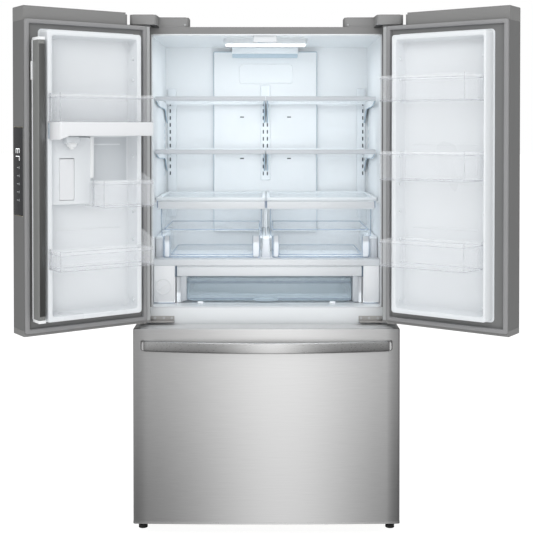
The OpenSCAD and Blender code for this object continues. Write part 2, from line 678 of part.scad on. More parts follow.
module right_door_liner() color("white") right_open() door_liner();
module right_door_gasket() color("dimgray") right_open() door_gasket();
module right_door_handle() color("silver") right_open() door_handle();
module right_door_bins() color("lightblue", 0.5) right_open()
    for (z = [[1483, 1566], [1227, 1320], [946, 1033]]) bin(right_bin, z);

// ---- Freezer drawer ----
module door_plan_wide(i, rear) intersection() {
    r = hinge_round - i;
    c = -half_w + hinge_round;
    cy = bow_cy - sqrt(pow(bow_r - hinge_round, 2) - c * c);
    union() {
        rect([-half_w + i, half_w - i], [cy, rear]);
        rect([c, -c], [front_y - lap, rear]);
        for (s = [-1, 1]) translate([s * c, cy]) circle(r);
    }
    translate([0, bow_cy]) circle(bow_r - i, $fn = 360);
}
drawer_rim_x = [-half_w + 25, half_w - 25];
drawer_rim_z = [drawer_low + 38, drawer_high - 13];
module freezer_panel() color("silver") at_face() difference() {
    slab([drawer_low, drawer_high]) door_plan_wide(0, -door_gap);
    slab([drawer_low + skin, drawer_high - skin]) door_plan_wide(skin, -door_gap - skin);
    box(drawer_rim_x, [-door_gap - 3, 0], drawer_rim_z);
}
module freezer_foam() color("khaki") at_face()
    slab([drawer_low + skin + 0.3, drawer_high - skin - 0.3]) door_plan_wide(skin + 0.3, -door_gap - 4.2);
module freezer_inner() color("white") at_face() {
    box([drawer_rim_x[0] + 0.2, drawer_rim_x[1] - 0.2], [-door_gap - 4, -door_gap],
        [drawer_rim_z[0] + 0.2, drawer_rim_z[1] - 0.2]);
    front_on([-door_gap - 1, 6])
        rim([-mouth + 12, mouth - 12], [freezer_floor + 12, freezer_top - 12], 20, 14);
}
module freezer_gasket() color("dimgray") at_face() front_on(gasket_y)
    rim([-half_w + 18, half_w - 18], [drawer_low + 31, drawer_high - 6], 8, gasket_w);
module freezer_handle() color("silver") at_face() difference() {
    translate([0, front_y + 8, 658.5]) bow_bar(854, 37, 42, 15, 20);
    slab([drawer_low, drawer_high]) door_plan_wide(-0.5, -door_gap);
}
module freezer_rails() color("silver") at_face() both() {
    box([cavity - 14, cavity - 0.2], [14, 426], [322, 350]);
    box([cavity - 26, cavity - 0.2], [30, 490], [484, 490]);
}
module freezer_slides() color("silver") at_face() both() {
    box([cavity - 26, cavity - 14.3], [6, 424], [326, 346]);
    box([cavity - 34, cavity - 25], [6, 424], [344, 347]);
}
module basket(x, y, z, pitch) {
    bar = 4;
    // Closed floor and open walls of flat bars under a solid rim.
    box(x, y, [z[0], z[0] + bar]);
    difference() {
        box(x, y, z);
        box([x[0] + bar, x[1] - bar], [y[0] + bar, y[1] - bar], [z[0] - 1, z[1] + 1]);
        for (a = [x[0] + pitch : pitch : x[1] - pitch])
            box([a - pitch / 3, a + pitch / 3], [y[0] - 1, y[1] + 1], [z[0] + 30, z[1] - 24]);
    }
}
module freezer_basket() color("white") at_face() {
    basket([-366, 366], [12, 405], [126, 340], 61);
    both() box([362, 373.5], [12, 405], [336, 340]);
}
module freezer_upper_basket() color("white") at_face() {
    basket([-378, 378], [34, 486], [440, 560], 63);
    both() box([376, 396], [34, 486], [490.4, 494]);
}

cabinet_case();
cabinet_insulation();
fresh_food_liner();
freezer_liner();
base_frame();
rear_cover();
compressor();
condenser_coil();
condenser_fan();
evaporator_coil();
evaporator_cover();
evaporator_fan();
air_duct_cover();
ceiling_light();
mullion_guide();
shelf_tracks();
shelf_frames();
shelf_glass();
crisper_cover();
deli_cover();
water_filter();
top_hinges();
top_hinge_covers();
middle_hinges();
hinge_screws();
freezer_rails();
left_foot();
right_foot();
left_roller();
right_roller();
left_crisper();
left_crisper_front();
right_crisper();
right_crisper_front();
deli_drawer();
deli_front();
freezer_panel();
freezer_foam();
freezer_inner();
freezer_gasket();
freezer_handle();
freezer_slides();
freezer_basket();
freezer_upper_basket();
left_door_panel();
left_door_foam();
left_door_liner();
left_door_gasket();
left_door_handle();
left_door_bins();
control_panel();
dispenser_housing();
dispenser_paddle();
mullion_bar();
right_door_panel();
right_door_foam();
right_door_liner();
right_door_gasket();
right_door_handle();
right_door_bins();
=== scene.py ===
import json
import math

import bmesh
import bpy
from mathutils import Matrix, Vector


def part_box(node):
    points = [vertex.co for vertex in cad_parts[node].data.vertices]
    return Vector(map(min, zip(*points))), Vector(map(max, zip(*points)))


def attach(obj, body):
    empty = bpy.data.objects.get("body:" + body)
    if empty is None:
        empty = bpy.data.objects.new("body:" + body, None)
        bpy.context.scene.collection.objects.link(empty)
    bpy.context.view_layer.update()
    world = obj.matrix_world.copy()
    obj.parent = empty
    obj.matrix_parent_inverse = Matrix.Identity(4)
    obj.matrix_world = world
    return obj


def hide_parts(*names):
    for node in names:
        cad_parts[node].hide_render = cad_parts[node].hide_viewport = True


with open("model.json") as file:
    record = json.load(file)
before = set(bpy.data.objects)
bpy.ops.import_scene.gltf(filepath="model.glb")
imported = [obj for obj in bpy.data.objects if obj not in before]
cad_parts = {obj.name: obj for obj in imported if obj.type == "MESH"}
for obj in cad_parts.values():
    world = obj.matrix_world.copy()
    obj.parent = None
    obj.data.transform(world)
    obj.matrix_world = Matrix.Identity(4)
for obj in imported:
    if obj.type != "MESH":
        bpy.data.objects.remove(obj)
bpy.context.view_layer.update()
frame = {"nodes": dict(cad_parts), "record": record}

# ---------------------------------------------------------------- places
# Pieces are drawn in millimetres. The cabinet's own frame starts at its face, as the doors' frames do.
# A door's frame is the place of that door when it is shut.
MM = 0.001
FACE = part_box("cabinet_case")[0].y
JOINTS = {j["name"]: j for j in frame["record"]["behaviour"]["joints"]}


def turn(joint, angle):
    """The motion of a hinge of the record by an angle in radians."""
    at = Vector(JOINTS[joint]["pos_m"])
    spin = Matrix.Rotation(angle, 4, Vector(JOINTS[joint]["axis"]))
    return Matrix.Translation(at) @ spin @ Matrix.Translation(-at)


def open_from_shut(joint):
    """From a joint's shut place, at the low end of its range, to its place at rest."""
    return turn(joint, math.radians(-JOINTS[joint]["range_deg"][0]))


MIRROR = Matrix.Scale(-1, 4, (1, 0, 0))


# ---------------------------------------------------------------- materials
def principled(name, color, rough, metal=0.0, **sockets):
    m = bpy.data.materials.new(name)
    m.use_nodes = True
    shader = m.node_tree.nodes["Principled BSDF"]
    shader.inputs["Base Color"].default_value = (*color, 1)
    shader.inputs["Roughness"].default_value = rough
    shader.inputs["Metallic"].default_value = metal
    for key, value in sockets.items():
        shader.inputs[key.replace("_", " ")].default_value = value
    return m


def add_nodes(m):
    nodes, links = m.node_tree.nodes, m.node_tree.links
    return nodes, links, nodes["Principled BSDF"]


def noise(m, scale, stretch=(1, 1, 1), detail=3.0):
    """A noise value over the object's own space, stretched along its axes."""
    nodes, links, _ = add_nodes(m)
    place = nodes.new("ShaderNodeTexCoord")
    mapping = nodes.new("ShaderNodeMapping")
    mapping.inputs["Scale"].default_value = stretch
    texture = nodes.new("ShaderNodeTexNoise")
    texture.inputs["Scale"].default_value = scale
    texture.inputs["Detail"].default_value = detail
    links.new(place.outputs["Object"], mapping.inputs["Vector"])
    links.new(mapping.outputs["Vector"], texture.inputs["Vector"])
    return texture.outputs["Fac"]


def vary_color(m, fac, dark, light):
    """A colour that moves between two near tones with the noise."""
    nodes, links, shader = add_nodes(m)
    ramp = nodes.new("ShaderNodeValToRGB")
    ramp.color_ramp.elements[0].position = 0.3
    ramp.color_ramp.elements[1].position = 0.7
    ramp.color_ramp.elements[0].color = (*dark, 1)
    ramp.color_ramp.elements[1].color = (*light, 1)
    links.new(fac, ramp.inputs["Fac"])
    links.new(ramp.outputs["Color"], shader.inputs["Base Color"])


def vary_rough(m, fac, low, high):
    """A roughness that moves between two values with the noise."""
    nodes, links, shader = add_nodes(m)
    span = nodes.new("ShaderNodeMapRange")
    span.inputs["To Min"].default_value = low
    span.inputs["To Max"].default_value = high
    links.new(fac, span.inputs["Value"])
    links.new(span.outputs["Result"], shader.inputs["Roughness"])


def bump(m, fac, strength, distance):
    nodes, links, shader = add_nodes(m)
    node = nodes.new("ShaderNodeBump")
    node.inputs["Strength"].default_value = strength
    node.inputs["Distance"].default_value = distance
    links.new(fac, node.inputs["Height"])
    links.new(node.outputs["Normal"], shader.inputs["Normal"])


def scaled(color, k):
    return tuple(c * k for c in color)


def moulded(name, color, rough, grain=900, depth=0.06, spread=0.03, **sockets):
    """Moulded plastic or paint: a fine skin, with a little change in colour and gloss."""
    m = principled(name, color, rough, **sockets)
    broad = noise(m, 3.5)
    vary_color(m, broad, scaled(color, 1 - spread), scaled(color, 1 + spread / 2))
    vary_rough(m, broad, rough * 0.9, rough * 1.12)
    bump(m, noise(m, grain, detail=2.0), depth, 0.0003)
    return m


def brushed(name, color, rough, along, aniso=0.7, spread=0.05, turned=0.25):
    """Brushed metal. The lines run along the axis whose stretch is small."""
    m = principled(name, color, rough, metal=1.0)
    nodes, links, shader = add_nodes(m)
    lines = noise(m, 700, along, detail=4.0)
    vary_color(m, lines, scaled(color, 1 - spread), scaled(color, 1 + spread / 2))
    vary_rough(m, lines, rough * 0.88, rough * 1.15)
    bump(m, lines, 0.05, 0.0002)
    shader.inputs["Anisotropic"].default_value = aniso
    shader.inputs["Anisotropic Rotation"].default_value = turned
    tangent = nodes.new("ShaderNodeTangent")
    tangent.direction_type = "RADIAL"
    tangent.axis = "Z"
    links.new(tangent.outputs["Tangent"], shader.inputs["Tangent"])
    return m


def clear(name, color, alpha, rough=0.06, edge=0.0):
    """Clear moulded plastic or glass: faint from the front, denser at a slant."""
    m = principled(name, color, rough, IOR=1.5)
    nodes, links, shader = add_nodes(m)
    weight = nodes.new("ShaderNodeLayerWeight")
    weight.inputs["Blend"].default_value = 0.28
    span = nodes.new("ShaderNodeMapRange")
    span.inputs["To Min"].default_value = alpha
    span.inputs["To Max"].default_value = min(1.0, alpha + edge)
    links.new(weight.outputs["Facing"], span.inputs["Value"])
    links.new(span.outputs["Result"], shader.inputs["Alpha"])
    bump(m, noise(m, 60), 0.02, 0.001)
    return m


def glowing(name, color, strength):
    m = principled(name, color, 0.5)
    _, _, shader = add_nodes(m)
    shader.inputs["Emission Color"].default_value = (*color, 1)
    shader.inputs["Emission Strength"].default_value = strength
    return m


# Stretches of the brushed lines, and all the looks. A moulded one is given as name, colour, roughness,
# then how fine, how deep and how uneven its skin is.
ACROSS = (0.012, 1, 1)
UPRIGHT = (1, 1, 0.012)
M = {
    "steel": brushed("brushed_steel", (0.60, 0.60, 0.60), 0.30, ACROSS),
    "handle": brushed("handle_steel", (0.58, 0.58, 0.58), 0.28, ACROSS, aniso=0.5),
    "upright": brushed("handle_steel_upright", (0.58, 0.58, 0.58), 0.28, UPRIGHT, aniso=0.3),
    "door_steel": brushed("door_brushed_steel", (0.58, 0.58, 0.58), 0.30, ACROSS),
    "door_grey": moulded("door_grey", (0.155, 0.156, 0.156), 0.42, 1400, 0.05),
    "cap_grey": moulded("cap_grey", (0.215, 0.215, 0.213), 0.46, 1100, 0.08),
    "case_grey": moulded("case_grey", (0.228, 0.228, 0.228), 0.40, 1500, 0.08),
    "hinge_cover": moulded("hinge_cover_grey", (0.25, 0.25, 0.25), 0.45, 1100, 0.1),
    "inner_white": moulded("cavity_white", (0.845, 0.875, 0.895), 0.30, 500, 0.03, 0.012),
    "sill_white": moulded("sill_white", (0.735, 0.76, 0.785), 0.30, 500, 0.03, 0.015),
    "liner_white": moulded("liner_white", (0.735, 0.762, 0.785), 0.28, 420, 0.04, 0.015),
    "white": moulded("white_plastic", (0.82, 0.835, 0.845), 0.30, 800, 0.04, 0.015),
    "cool_white": moulded("cool_white_plastic", (0.83, 0.87, 0.90), 0.28, 800, 0.03, 0.015),
    # A darker blue-grey that paints shade in the duct's seams, the wall slots, the hood's lower half and the
    # guide's track. The duct clips and the deli drawer's oval also use it.
    "shade": moulded("shaded_plastic", (0.50, 0.60, 0.68), 0.35, 800, 0.03),
    "shelf_trim": moulded("shelf_trim_plastic", (0.60, 0.63, 0.665), 0.3, 800, 0.03, 0.01),
    # A blue-grey for thin beads and lines that paint shade along edges.
    "edge_shade": moulded("painted_edge_shade", (0.42, 0.53, 0.62), 0.35, 800, 0.03),
    "deep_shade": moulded("deep_shade_plastic", (0.16, 0.22, 0.30), 0.5, 800, 0.03),
    "crisper_line": clear("crisper_moulded_edge", (0.26, 0.36, 0.50), 0.50, rough=0.3, edge=0.3),
    "deli_line": clear("deli_moulded_edge", (0.30, 0.37, 0.45), 0.35, rough=0.3, edge=0.2),
    "blue_edge": moulded("blue_end_plastic", (0.10, 0.16, 0.30), 0.4, 500, 0.03, 0.01),
    # A lighter copy of the sill's white plastic: painted light on the housings and the filter cap.
    "housing": moulded("housing_painted_light_white", (0.90, 0.91, 0.925), 0.3, 500, 0.03, 0.01),
    "door_inner": moulded("door_inner_grey", (0.18, 0.182, 0.182), 0.4, 1200, 0.05),
    # A lighter grey that paints the highlight along a door's hinge edge.
    "hinge_edge_highlight": moulded("hinge_edge_painted_highlight", (0.42, 0.43, 0.435), 0.4, 1200, 0.04),
    "top_trim": moulded("top_trim_grey", (0.60, 0.605, 0.61), 0.35, 1200, 0.04),
    "bar_plate": brushed("bar_plate_steel", (0.28, 0.285, 0.28), 0.4, UPRIGHT, aniso=0.0),
    "liner_shade": moulded("liner_shade", (0.60, 0.63, 0.655), 0.35, 420, 0.03, 0.01),
    "dark_slot": moulded("slot_shadow", (0.06, 0.07, 0.08), 0.7),
    "gasket": moulded("gasket_vinyl", (0.27, 0.27, 0.275), 0.55, 300, 0.08),
    "bar_grey": moulded("bar_grey", (0.20, 0.205, 0.20), 0.40, 1200, 0.06),
    "strip": moulded("control_glass", (0.035, 0.036, 0.038), 0.16, 900, 0.01),
    "digits": glowing("control_digits", (0.85, 0.87, 0.88), 0.9),
    "marks": glowing("control_marks", (0.30, 0.31, 0.32), 0.25),
    "lamp": glowing("lamp_lens", (1.0, 1.0, 1.0), 1.2),
    "bin": clear("clear_bin", (0.86, 0.88, 0.91), 0.035, rough=0.2, edge=0.10),
    "bin_lip": clear("clear_bin_lip", (0.92, 0.94, 0.96), 0.10, rough=0.2, edge=0.15),
    "bin_edge": clear("clear_bin_edge", (0.50, 0.52, 0.56), 0.28, rough=0.4, edge=0.15),
    "band_white": moulded("bin_band_white", (0.74, 0.755, 0.775), 0.3, 800, 0.03, 0.01),
    "crisper": clear("clear_crisper", (0.80, 0.88, 0.94), 0.06, edge=0.25),
    "deli": clear("clear_deli", (0.64, 0.75, 0.82), 0.30, edge=0.3),
    "glass": clear("shelf_glass", (0.85, 0.93, 0.96), 0.05, rough=0.03, edge=0.4),
    "black": moulded("black_plastic", (0.012, 0.012, 0.012), 0.45, 700, 0.1),
    "rubber": moulded("black_rubber", (0.02, 0.02, 0.02), 0.75, 500, 0.15),
    "enamel": moulded("black_enamel", (0.015, 0.015, 0.016), 0.25, 300, 0.05),
    "zinc": brushed("zinc_plate", (0.62, 0.63, 0.64), 0.38, (1, 1, 1), aniso=0.0, spread=0.12),
    "hinge": brushed("hinge_plate", (0.50, 0.49, 0.48), 0.36, (1, 1, 1), aniso=0.0, spread=0.08),
    "copper": brushed("copper_tube", (0.72, 0.40, 0.25), 0.34, (1, 1, 1), aniso=0.0, spread=0.15),
    "fins": brushed("aluminium_fins", (0.80, 0.81, 0.82), 0.35, (1, 1, 0.1), aniso=0.0),
    "foam": moulded("foam", (0.80, 0.72, 0.48), 0.9, 260, 0.6, 0.08),
    "fan": moulded("fan_plastic", (0.55, 0.56, 0.57), 0.5),
}

# The CAD nodes that show as they are, by look. Every other node is replaced by a piece drawn here.
NODE_LOOKS = {
    "case_grey": ["cabinet_case"],
    "foam": ["cabinet_insulation", "freezer_foam", "left_door_foam", "right_door_foam"],
    "inner_white": ["fresh_food_liner"], "liner_white": ["freezer_liner", "freezer_inner"],
    "black": ["base_frame", "left_roller", "right_roller"],
    "zinc": ["rear_cover", "top_hinges", "hinge_screws", "freezer_rails", "freezer_slides"],
    "enamel": ["compressor"], "copper": ["condenser_coil"], "fan": ["condenser_fan", "evaporator_fan"],
    "fins": ["evaporator_coil"], "white": ["evaporator_cover", "freezer_basket", "freezer_upper_basket"],
    "glass": ["shelf_glass"], "hinge": ["middle_hinges"],
    "door_grey": ["left_door_panel", "right_door_panel"],
}
for look, nodes_of_look in NODE_LOOKS.items():
    for node in nodes_of_look:
        mesh = frame["nodes"][node].data
        mesh.materials.clear()
        mesh.materials.append(M[look])

# ---------------------------------------------------------------- mesh tools
SHRINK = Matrix.Scale(MM, 4)
AT_FACE = Matrix.Translation((0, FACE, 0))
LEFT_SHUT = open_from_shut("left_door_hinge") @ AT_FACE
BAR_PIVOT = Matrix.Translation((-0.0305, 0.005, 0))
BAR_FOLD = Matrix.Rotation(math.radians(90), 4, "Z")
# Where a body's pieces stand at rest, and how their own millimetres become metres.
PLACES = {
    "left_door": (LEFT_SHUT, SHRINK),
    "dispenser_paddle": (LEFT_SHUT, SHRINK),
    "mullion_bar": (LEFT_SHUT @ BAR_PIVOT @ BAR_FOLD @ BAR_PIVOT.inverted(), SHRINK),
    "right_door": (open_from_shut("right_door_hinge") @ AT_FACE, MIRROR @ SHRINK),
}
scene = bpy.context.scene


def piece(name, bm, look, body, replaces=(), sharp=32):
    """Turns a drawn mesh into a named object that rides a body. Edges over sharp degrees stay crisp."""
    world, local = PLACES.get(body, (AT_FACE, SHRINK))
    bmesh.ops.transform(bm, matrix=local, verts=bm.verts)
    bmesh.ops.recalc_face_normals(bm, faces=bm.faces)
    mesh = bpy.data.meshes.new(name)
    bm.to_mesh(mesh)
    bm.free()
    mesh.shade_smooth()
    mesh.set_sharp_from_angle(angle=math.radians(sharp))
    mesh.materials.append(M[look])
    o = bpy.data.objects.new(name, mesh)
    scene.collection.objects.link(o)
    o.matrix_world = world
    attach(o, body)
    if replaces:
        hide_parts(*replaces)
    return o


def white(name, bm, look, replaces=()):
    """A moulded piece that belongs to the cabinet."""
    piece(name, bm, look, "cabinet", replaces)


def corners(u, v, r, n=5):
    """A rectangle with round corners, as 2-D points."""
    out = []
    for cu, cv, start in ((u[1] - r, v[1] - r, 0), (u[0] + r, v[1] - r, 90),
                          (u[0] + r, v[0] + r, 180), (u[1] - r, v[0] + r, 270)):
        for i in range(n + 1):
            a = math.radians(start + 90 * i / n)
            out.append((cu + r * math.cos(a), cv + r * math.sin(a)))
    return out


PLANES = {
    "front": lambda u, v, d: (u, d, v),
    "plan": lambda u, v, d: (u, v, d),
    "side": lambda u, v, d: (d, u, v),
}


def inset(u, d):
    return (u[0] + d, u[1] - d)


def skin(bm, rings, loop=False, caps=True):
    """Joins rings of points that follow each other. With loop, the last joins the first."""
    made = [[bm.verts.new(p) for p in r] for r in rings]
    pairs = list(zip(made, made[1:])) + ([(made[-1], made[0])] if loop else [])
    for a, b in pairs:
        for i in range(len(a)):
            j = (i + 1) % len(a)
            bm.faces.new((a[i], a[j], b[j], b[i]))
    if caps and not loop:
        bm.faces.new(made[0][::-1])
        bm.faces.new(made[-1])
    return made


def stack(bm, plane, levels, loop=False, n=5):
    """Skins rounded rectangles, each given as (range, range, corner radius, depth)."""
    skin(bm, [[PLANES[plane](a, b, d) for a, b in corners(u, v, r, n)] for u, v, r, d in levels], loop)


def soften(bm, verts, r, seg):
    """Rounds the sharp edges at these points."""
    edges = {e for v in verts for e in v.link_edges if len(e.link_faces) == 2 and e.calc_face_angle(0) > 0.4}
    bmesh.ops.bevel(bm, geom=list(edges), offset=r, segments=seg, affect="EDGES", profile=0.5)


def block(bm, x, y, z, r=0.0, seg=2):
    """A box between three ranges, with edges rounded by r."""
    verts = bmesh.ops.create_cube(bm, size=1)["verts"]
    for v in verts:
        v.co = Vector(lo + (c + 0.5) * (hi - lo) for c, (lo, hi) in zip(v.co, (x, y, z)))
    if r:
        soften(bm, verts, r, seg)


def prism(bm, points, plane, lo, hi, r=0.0, seg=2):
    """A closed outline drawn in a plane and carried from lo to hi, with its two ends' edges rounded by r."""
    rings = skin(bm, [[PLANES[plane](a, b, d) for a, b in points] for d in (lo, hi)])
    if r:
        edges = {e for g in rings for v in g for e in v.link_edges if all(w in g for w in e.verts)}
        bmesh.ops.bevel(bm, geom=list(edges), offset=r, segments=seg, affect="EDGES", profile=0.5)


def turns(n):
    """Angles that go once round in n steps."""
    return [2 * math.pi * i / n for i in range(n)]


def rod(bm, a, b, r, seg=24, end=0.0):
    """A round bar from a to b. Its ends are chamfered by end."""
    a, b = Vector(a), Vector(b)
    d = (b - a).normalized()
    side = d.orthogonal().normalized()
    up = d.cross(side)
    rings = []
    for at, radius in ((a, r - end), (a + d * end, r), (b - d * end, r), (b, r - end)):
        rings.append([at + (side * math.cos(t) + up * math.sin(t)) * radius for t in turns(seg)])
    if not end:
        rings = rings[1:3]
    skin(bm, rings)


def sweep(bm, path, section, flat, scale=None):
    """Sweeps a 2-D section along a path. The section's first axis stays along flat."""
    flat = Vector(flat)
    rings = []
    for i, p in enumerate(path):
        p = Vector(p)
        ahead = (Vector(path[min(i + 1, len(path) - 1)]) - Vector(path[max(i - 1, 0)])).normalized()
        other = ahead.cross(flat).normalized()
        k = scale(i / (len(path) - 1)) if scale else (1, 1)
        rings.append([p + flat * (a * k[0]) + other * (b * k[1]) for a, b in section])
    skin(bm, rings)


def new():
    return bmesh.new()


# ---------------------------------------------------------------- doors
# Door sizes in the shut place, in millimetres from the cabinet's face.
HALF = 454
FRONT = -107
REAR = -12
BOW = 8
BOW_R = (HALF ** 2 + BOW ** 2) / (2 * BOW)
FREE = -2.5
HINGE_R, FREE_R = 8, 8
LOW, HIGH = 737, 1784
NOTCH = (-361, 1744)
RIM_X, RIM_Z = (-428.8, -11.7), (750.2, 1734.8)
DYKE_X, DYKE_Z = (-393, -57), (780, 1707)


def bow_y(x, grow=0.0):
    """The bowed front at x, moved outward by grow."""
    r = BOW_R + grow
    return FRONT + BOW_R - math.sqrt(r * r - x * x)


def arc(c, r, start, stop, n=8):
    """Points of an arc round c, from one angle to another in degrees."""
    angles = [math.radians(start + (stop - start) * i / n) for i in range(n + 1)]
    return [(c[0] + r * math.cos(t), c[1] + r * math.sin(t)) for t in angles]


def front_line(grow, x0=-HALF, x1=FREE, r0=HINGE_R, r1=FREE_R):
    """The outline of a front from its left side round to its right side, moved outward by grow."""
    a, b = x0 + r0, x1 - r1
    ya, yb = bow_y(a) + r0, bow_y(b) + r1
    line = arc((a, ya), r0 + grow, 180, 268, 8)
    line += [(x, bow_y(x, grow)) for x in (a + (b - a) * i / 24 for i in range(1, 24))]
    return line + arc((b, yb), r1 + grow, 272, 360, 6)


def door_plan(grow, rear):
    return [(-HALF - grow, rear)] + front_line(grow) + [(FREE + grow, rear)]


def cap_plan(grow, rear, x0):
    """The part of the door's plan that lies right of x0."""
    line = [p for p in front_line(grow) if p[0] > x0 + 2]
    return [(x0, rear), (x0, bow_y(x0, grow))] + line + [(FREE + grow, rear)]


# Sections of a gasket and of a handle, and the height of a door's handle.
GASKET_FOLD = [(0, -12), (0.3, -8), (2.2, -7), (0.2, -5.6), (0.8, -2), (3, -1), (10.5, -1), (13.2, -2.2),
               (12.6, -5.6), (11.4, -7), (13.6, -8), (14, -12)]
GRIP_Z = 1280.5
GRIP_HALF = 430
GRIP_FOOT = 414


def gasket(name, x, z, body, replaced):
    """A folded bellows round a door."""
    bm = new()
    fold = [(inset(x, d), inset(z, d), max(8 - d / 3, 3), y) for d, y in GASKET_FOLD]
    stack(bm, "front", fold, loop=True)
    piece(name, bm, "gasket", body, [replaced])


def door_shell(side):
    body = side + "_door"
    # Steel front that wraps round the corners.
    bm = new()
    outer, inner = front_line(0.5), front_line(-0.2)
    rings = [[(x, y, z) for x, y in outer + inner[::-1]] for z in (LOW + 15.5, HIGH - 46.5)]
    skin(bm, rings)
    piece(side + "_door_skin", bm, "door_steel", body)
    # Plastic end caps.
    bm = new()
    prism(bm, cap_plan(0.6, REAR + 0.4, NOTCH[0] - 0.6), "plan", HIGH - 46, HIGH - 0.4, 2.2, 3)
    prism(bm, [(-364, -14), (-364, -96), (-305, -97), (-305, -14)], "plan", HIGH - 2, HIGH - 0.05, 0.3)
    block(bm, (-371, -361), (-98, -16), (1743.5, HIGH - 5), 2.5)
    piece(side + "_door_top_cap", bm, "cap_grey", body)
    bm = new()
    prism(bm, door_plan(0.6, REAR + 0.4), "plan", LOW - 4, LOW + 15, 2.0, 3)
    piece(side + "_door_bottom_cap", bm, "cap_grey", body)
    # Liner: flange, rim with a round crest, and recess.
    bm = new()
    wall = [(-6, 13, REAR + 0.5), (-1.5, 11, -10), (0, 9, -6), (1.0, 9, 40), (2.6, 9, 43.8), (6, 8, 45),
            (14.4, 8, 45), (17.2, 9, 43.6), (18, 10, 40), (20.5, 20, -4), (25, 26, -10.4), (33, 24, REAR)]
    # The right door's rim is narrow at its free side.
    cut = 0.8 if side == "right" else 0
    levels = [(inset(DYKE_X, -6), inset(DYKE_Z, -6), 13, REAR - 4)]
    for d, r, y in wall:
        narrow = cut * min(max(d - 6, 0), 11)
        levels.append(((DYKE_X[0] + d, DYKE_X[1] - d + narrow), inset(DYKE_Z, d), r, y))
    stack(bm, "front", levels, n=8)
    for z in (1340, 1063):
        block(bm, (-340, -110), (-13, -11.2), (z, z + 5), 0.8)
    for z in (1627, 1557, 1304, 1210, 1120, 1027, 823):
        for x in (-376, -80):
            rod(bm, (x, 18, z), (x + 7, 18, z), 6, 16, 1)
    piece(side + "_door_liner_shell", bm, "liner_white", body, [side + "_door_liner"])
    # Grey inner frame round the liner.
    bm = new()
    lip = [(RIM_X, RIM_Z, 0, 4, -4), (RIM_X, RIM_Z, 0, 4, -0.3), (RIM_X, RIM_Z, 1, 4, 0),
           (DYKE_X, DYKE_Z, -3.5, 12, 0), (DYKE_X, DYKE_Z, -2.5, 11, -1), (DYKE_X, DYKE_Z, -2.5, 11, -4)]
    stack(bm, "front", [(inset(x, d), inset(z, d), r, REAR + y) for x, z, d, r, y in lip], loop=True, n=8)
    piece(side + "_door_inner_frame", bm, "door_inner", body)
    # A lighter grey sheet along the hinge edge of the door's back: a painted highlight.
    bm = new()
    block(bm, (-453.2, -441), (-12.6, -11.3), (742, 1741), 0.5)
    piece(side + "_door_hinge_edge_highlight", bm, "hinge_edge_highlight", body)
    gasket(side + "_door_gasket_fold", (-436, -4), (743, 1742), body, side + "_door_gasket")
    # Handle: one swept bar whose ends turn into the door.
    bm = new()
    path = []
    for i in range(49):
        t = -1 + i / 24
        rise = 20 + 30 * (1 - t * t)
        end = min(1.0, (1 - abs(t)) / 0.075)
        depth = rise * math.sqrt(max(0.0, 1 - (1 - end) ** 2))
        path.append((-52, FRONT + 1 - depth, GRIP_Z + t * (GRIP_HALF - 5)))
    sweep(bm, path, corners((-15, 15), (-6, 6), 5, 4), (1, 0, 0))
    for s in (-1, 1):
        foot = (GRIP_Z + s * GRIP_FOOT - 16, GRIP_Z + s * GRIP_FOOT + 16)
        stack(bm, "front", [(inset((-69, -35), d), inset(foot, d), r, y)
                            for d, r, y in ((0, 8, FRONT + 1.5), (1, 8, FRONT - 5), (3, 7, FRONT - 12))])
    piece(side + "_door_handle_bar", bm, "upright", body, [side + "_door_handle"])


def bin_outline(x, y, d, slant):
    """A bin's plan, drawn in by d. Its free end slants back by slant."""
    r = max(9 - d, 2)
    a, b = x[0] + d, x[1] - d
    back, front = y[0] + d, y[1] - d
    line = [(b, back), (b - slant, front - r)]
    line += [(b - slant - r + r * math.cos(t), front - r + r * math.sin(t)) for t in (0.5, 1.05, 1.57)]
    line += [(a + r - r * math.cos(t), front - r + r * math.sin(t)) for t in (1.57, 1.05, 0.5, 0)]
    return line + [(a, back)]


def bin_ring(bm, x, y, slant, levels, loop=True):
    """Skins a bin's outline through levels, each given as (inset, height)."""
    skin(bm, [[(u, v, h) for u, v in bin_outline(x, y, d, slant)] for d, h in levels], loop)


def clear_bin(name, body, x, z, slant=0.0, white=0.0, replaces=()):
    """A clear bin: a box in front of the rim, a tongue between the rims, a lip and thin moulded edges."""
    y = (16 if slant else 48, 138)
    low = z[0] + white
    bm = new()
    high = z[1] - 9
    shape = [(6, low), (1.5, low + 1.5), (0, low + 6), (0, high), (3, high), (3, low + 7), (6, low + 4)]
    bin_ring(bm, x, y, slant, shape, False)
    back = (max(x[0], -366), min(x[1], -84) - slant / 2)
    block(bm, back, (-6, y[0] + 4), (low + 0.5, low + 3.5), 1)
    for a in (back[0], back[1] - 3):
        block(bm, (a, a + 3), (-6, y[0] + 4), (low + 1, z[1] - 6), 1)
    piece(name, bm, "bin", body, replaces)
    bm = new()
    lip = [(-0.8, -9), (-0.8, -1.5), (0, 0), (3.5, 0), (4, -2), (3.5, -9)]
    bin_ring(bm, x, y, slant, [(d, z[1] + h) for d, h in lip])
    piece(name + "_lip", bm, "bin_lip", body)
    bm = new()
    bin_ring(bm, x, y, slant, [(-1.1, z[1] - 10.6), (-1.1, z[1] - 8.8), (1, z[1] - 8.8), (1, z[1] - 10.6)])
    bin_ring(bm, x, y, slant, [(-0.6, low + 0.5), (-0.6, low + 3), (2, low + 3), (2, low + 0.5)])
    block(bm, (x[1] - slant - 1.8, x[1] - slant - 0.2), (133, 135.2), (low + 2, z[1] + 4), 0.5)
    block(bm, (x[1] - 3.4, x[1] - 1.2), (y[0], y[0] + 11), (low + 2, z[1] + 4), 0.5)
    piece(name + "_edges", bm, "bin_edge", body)


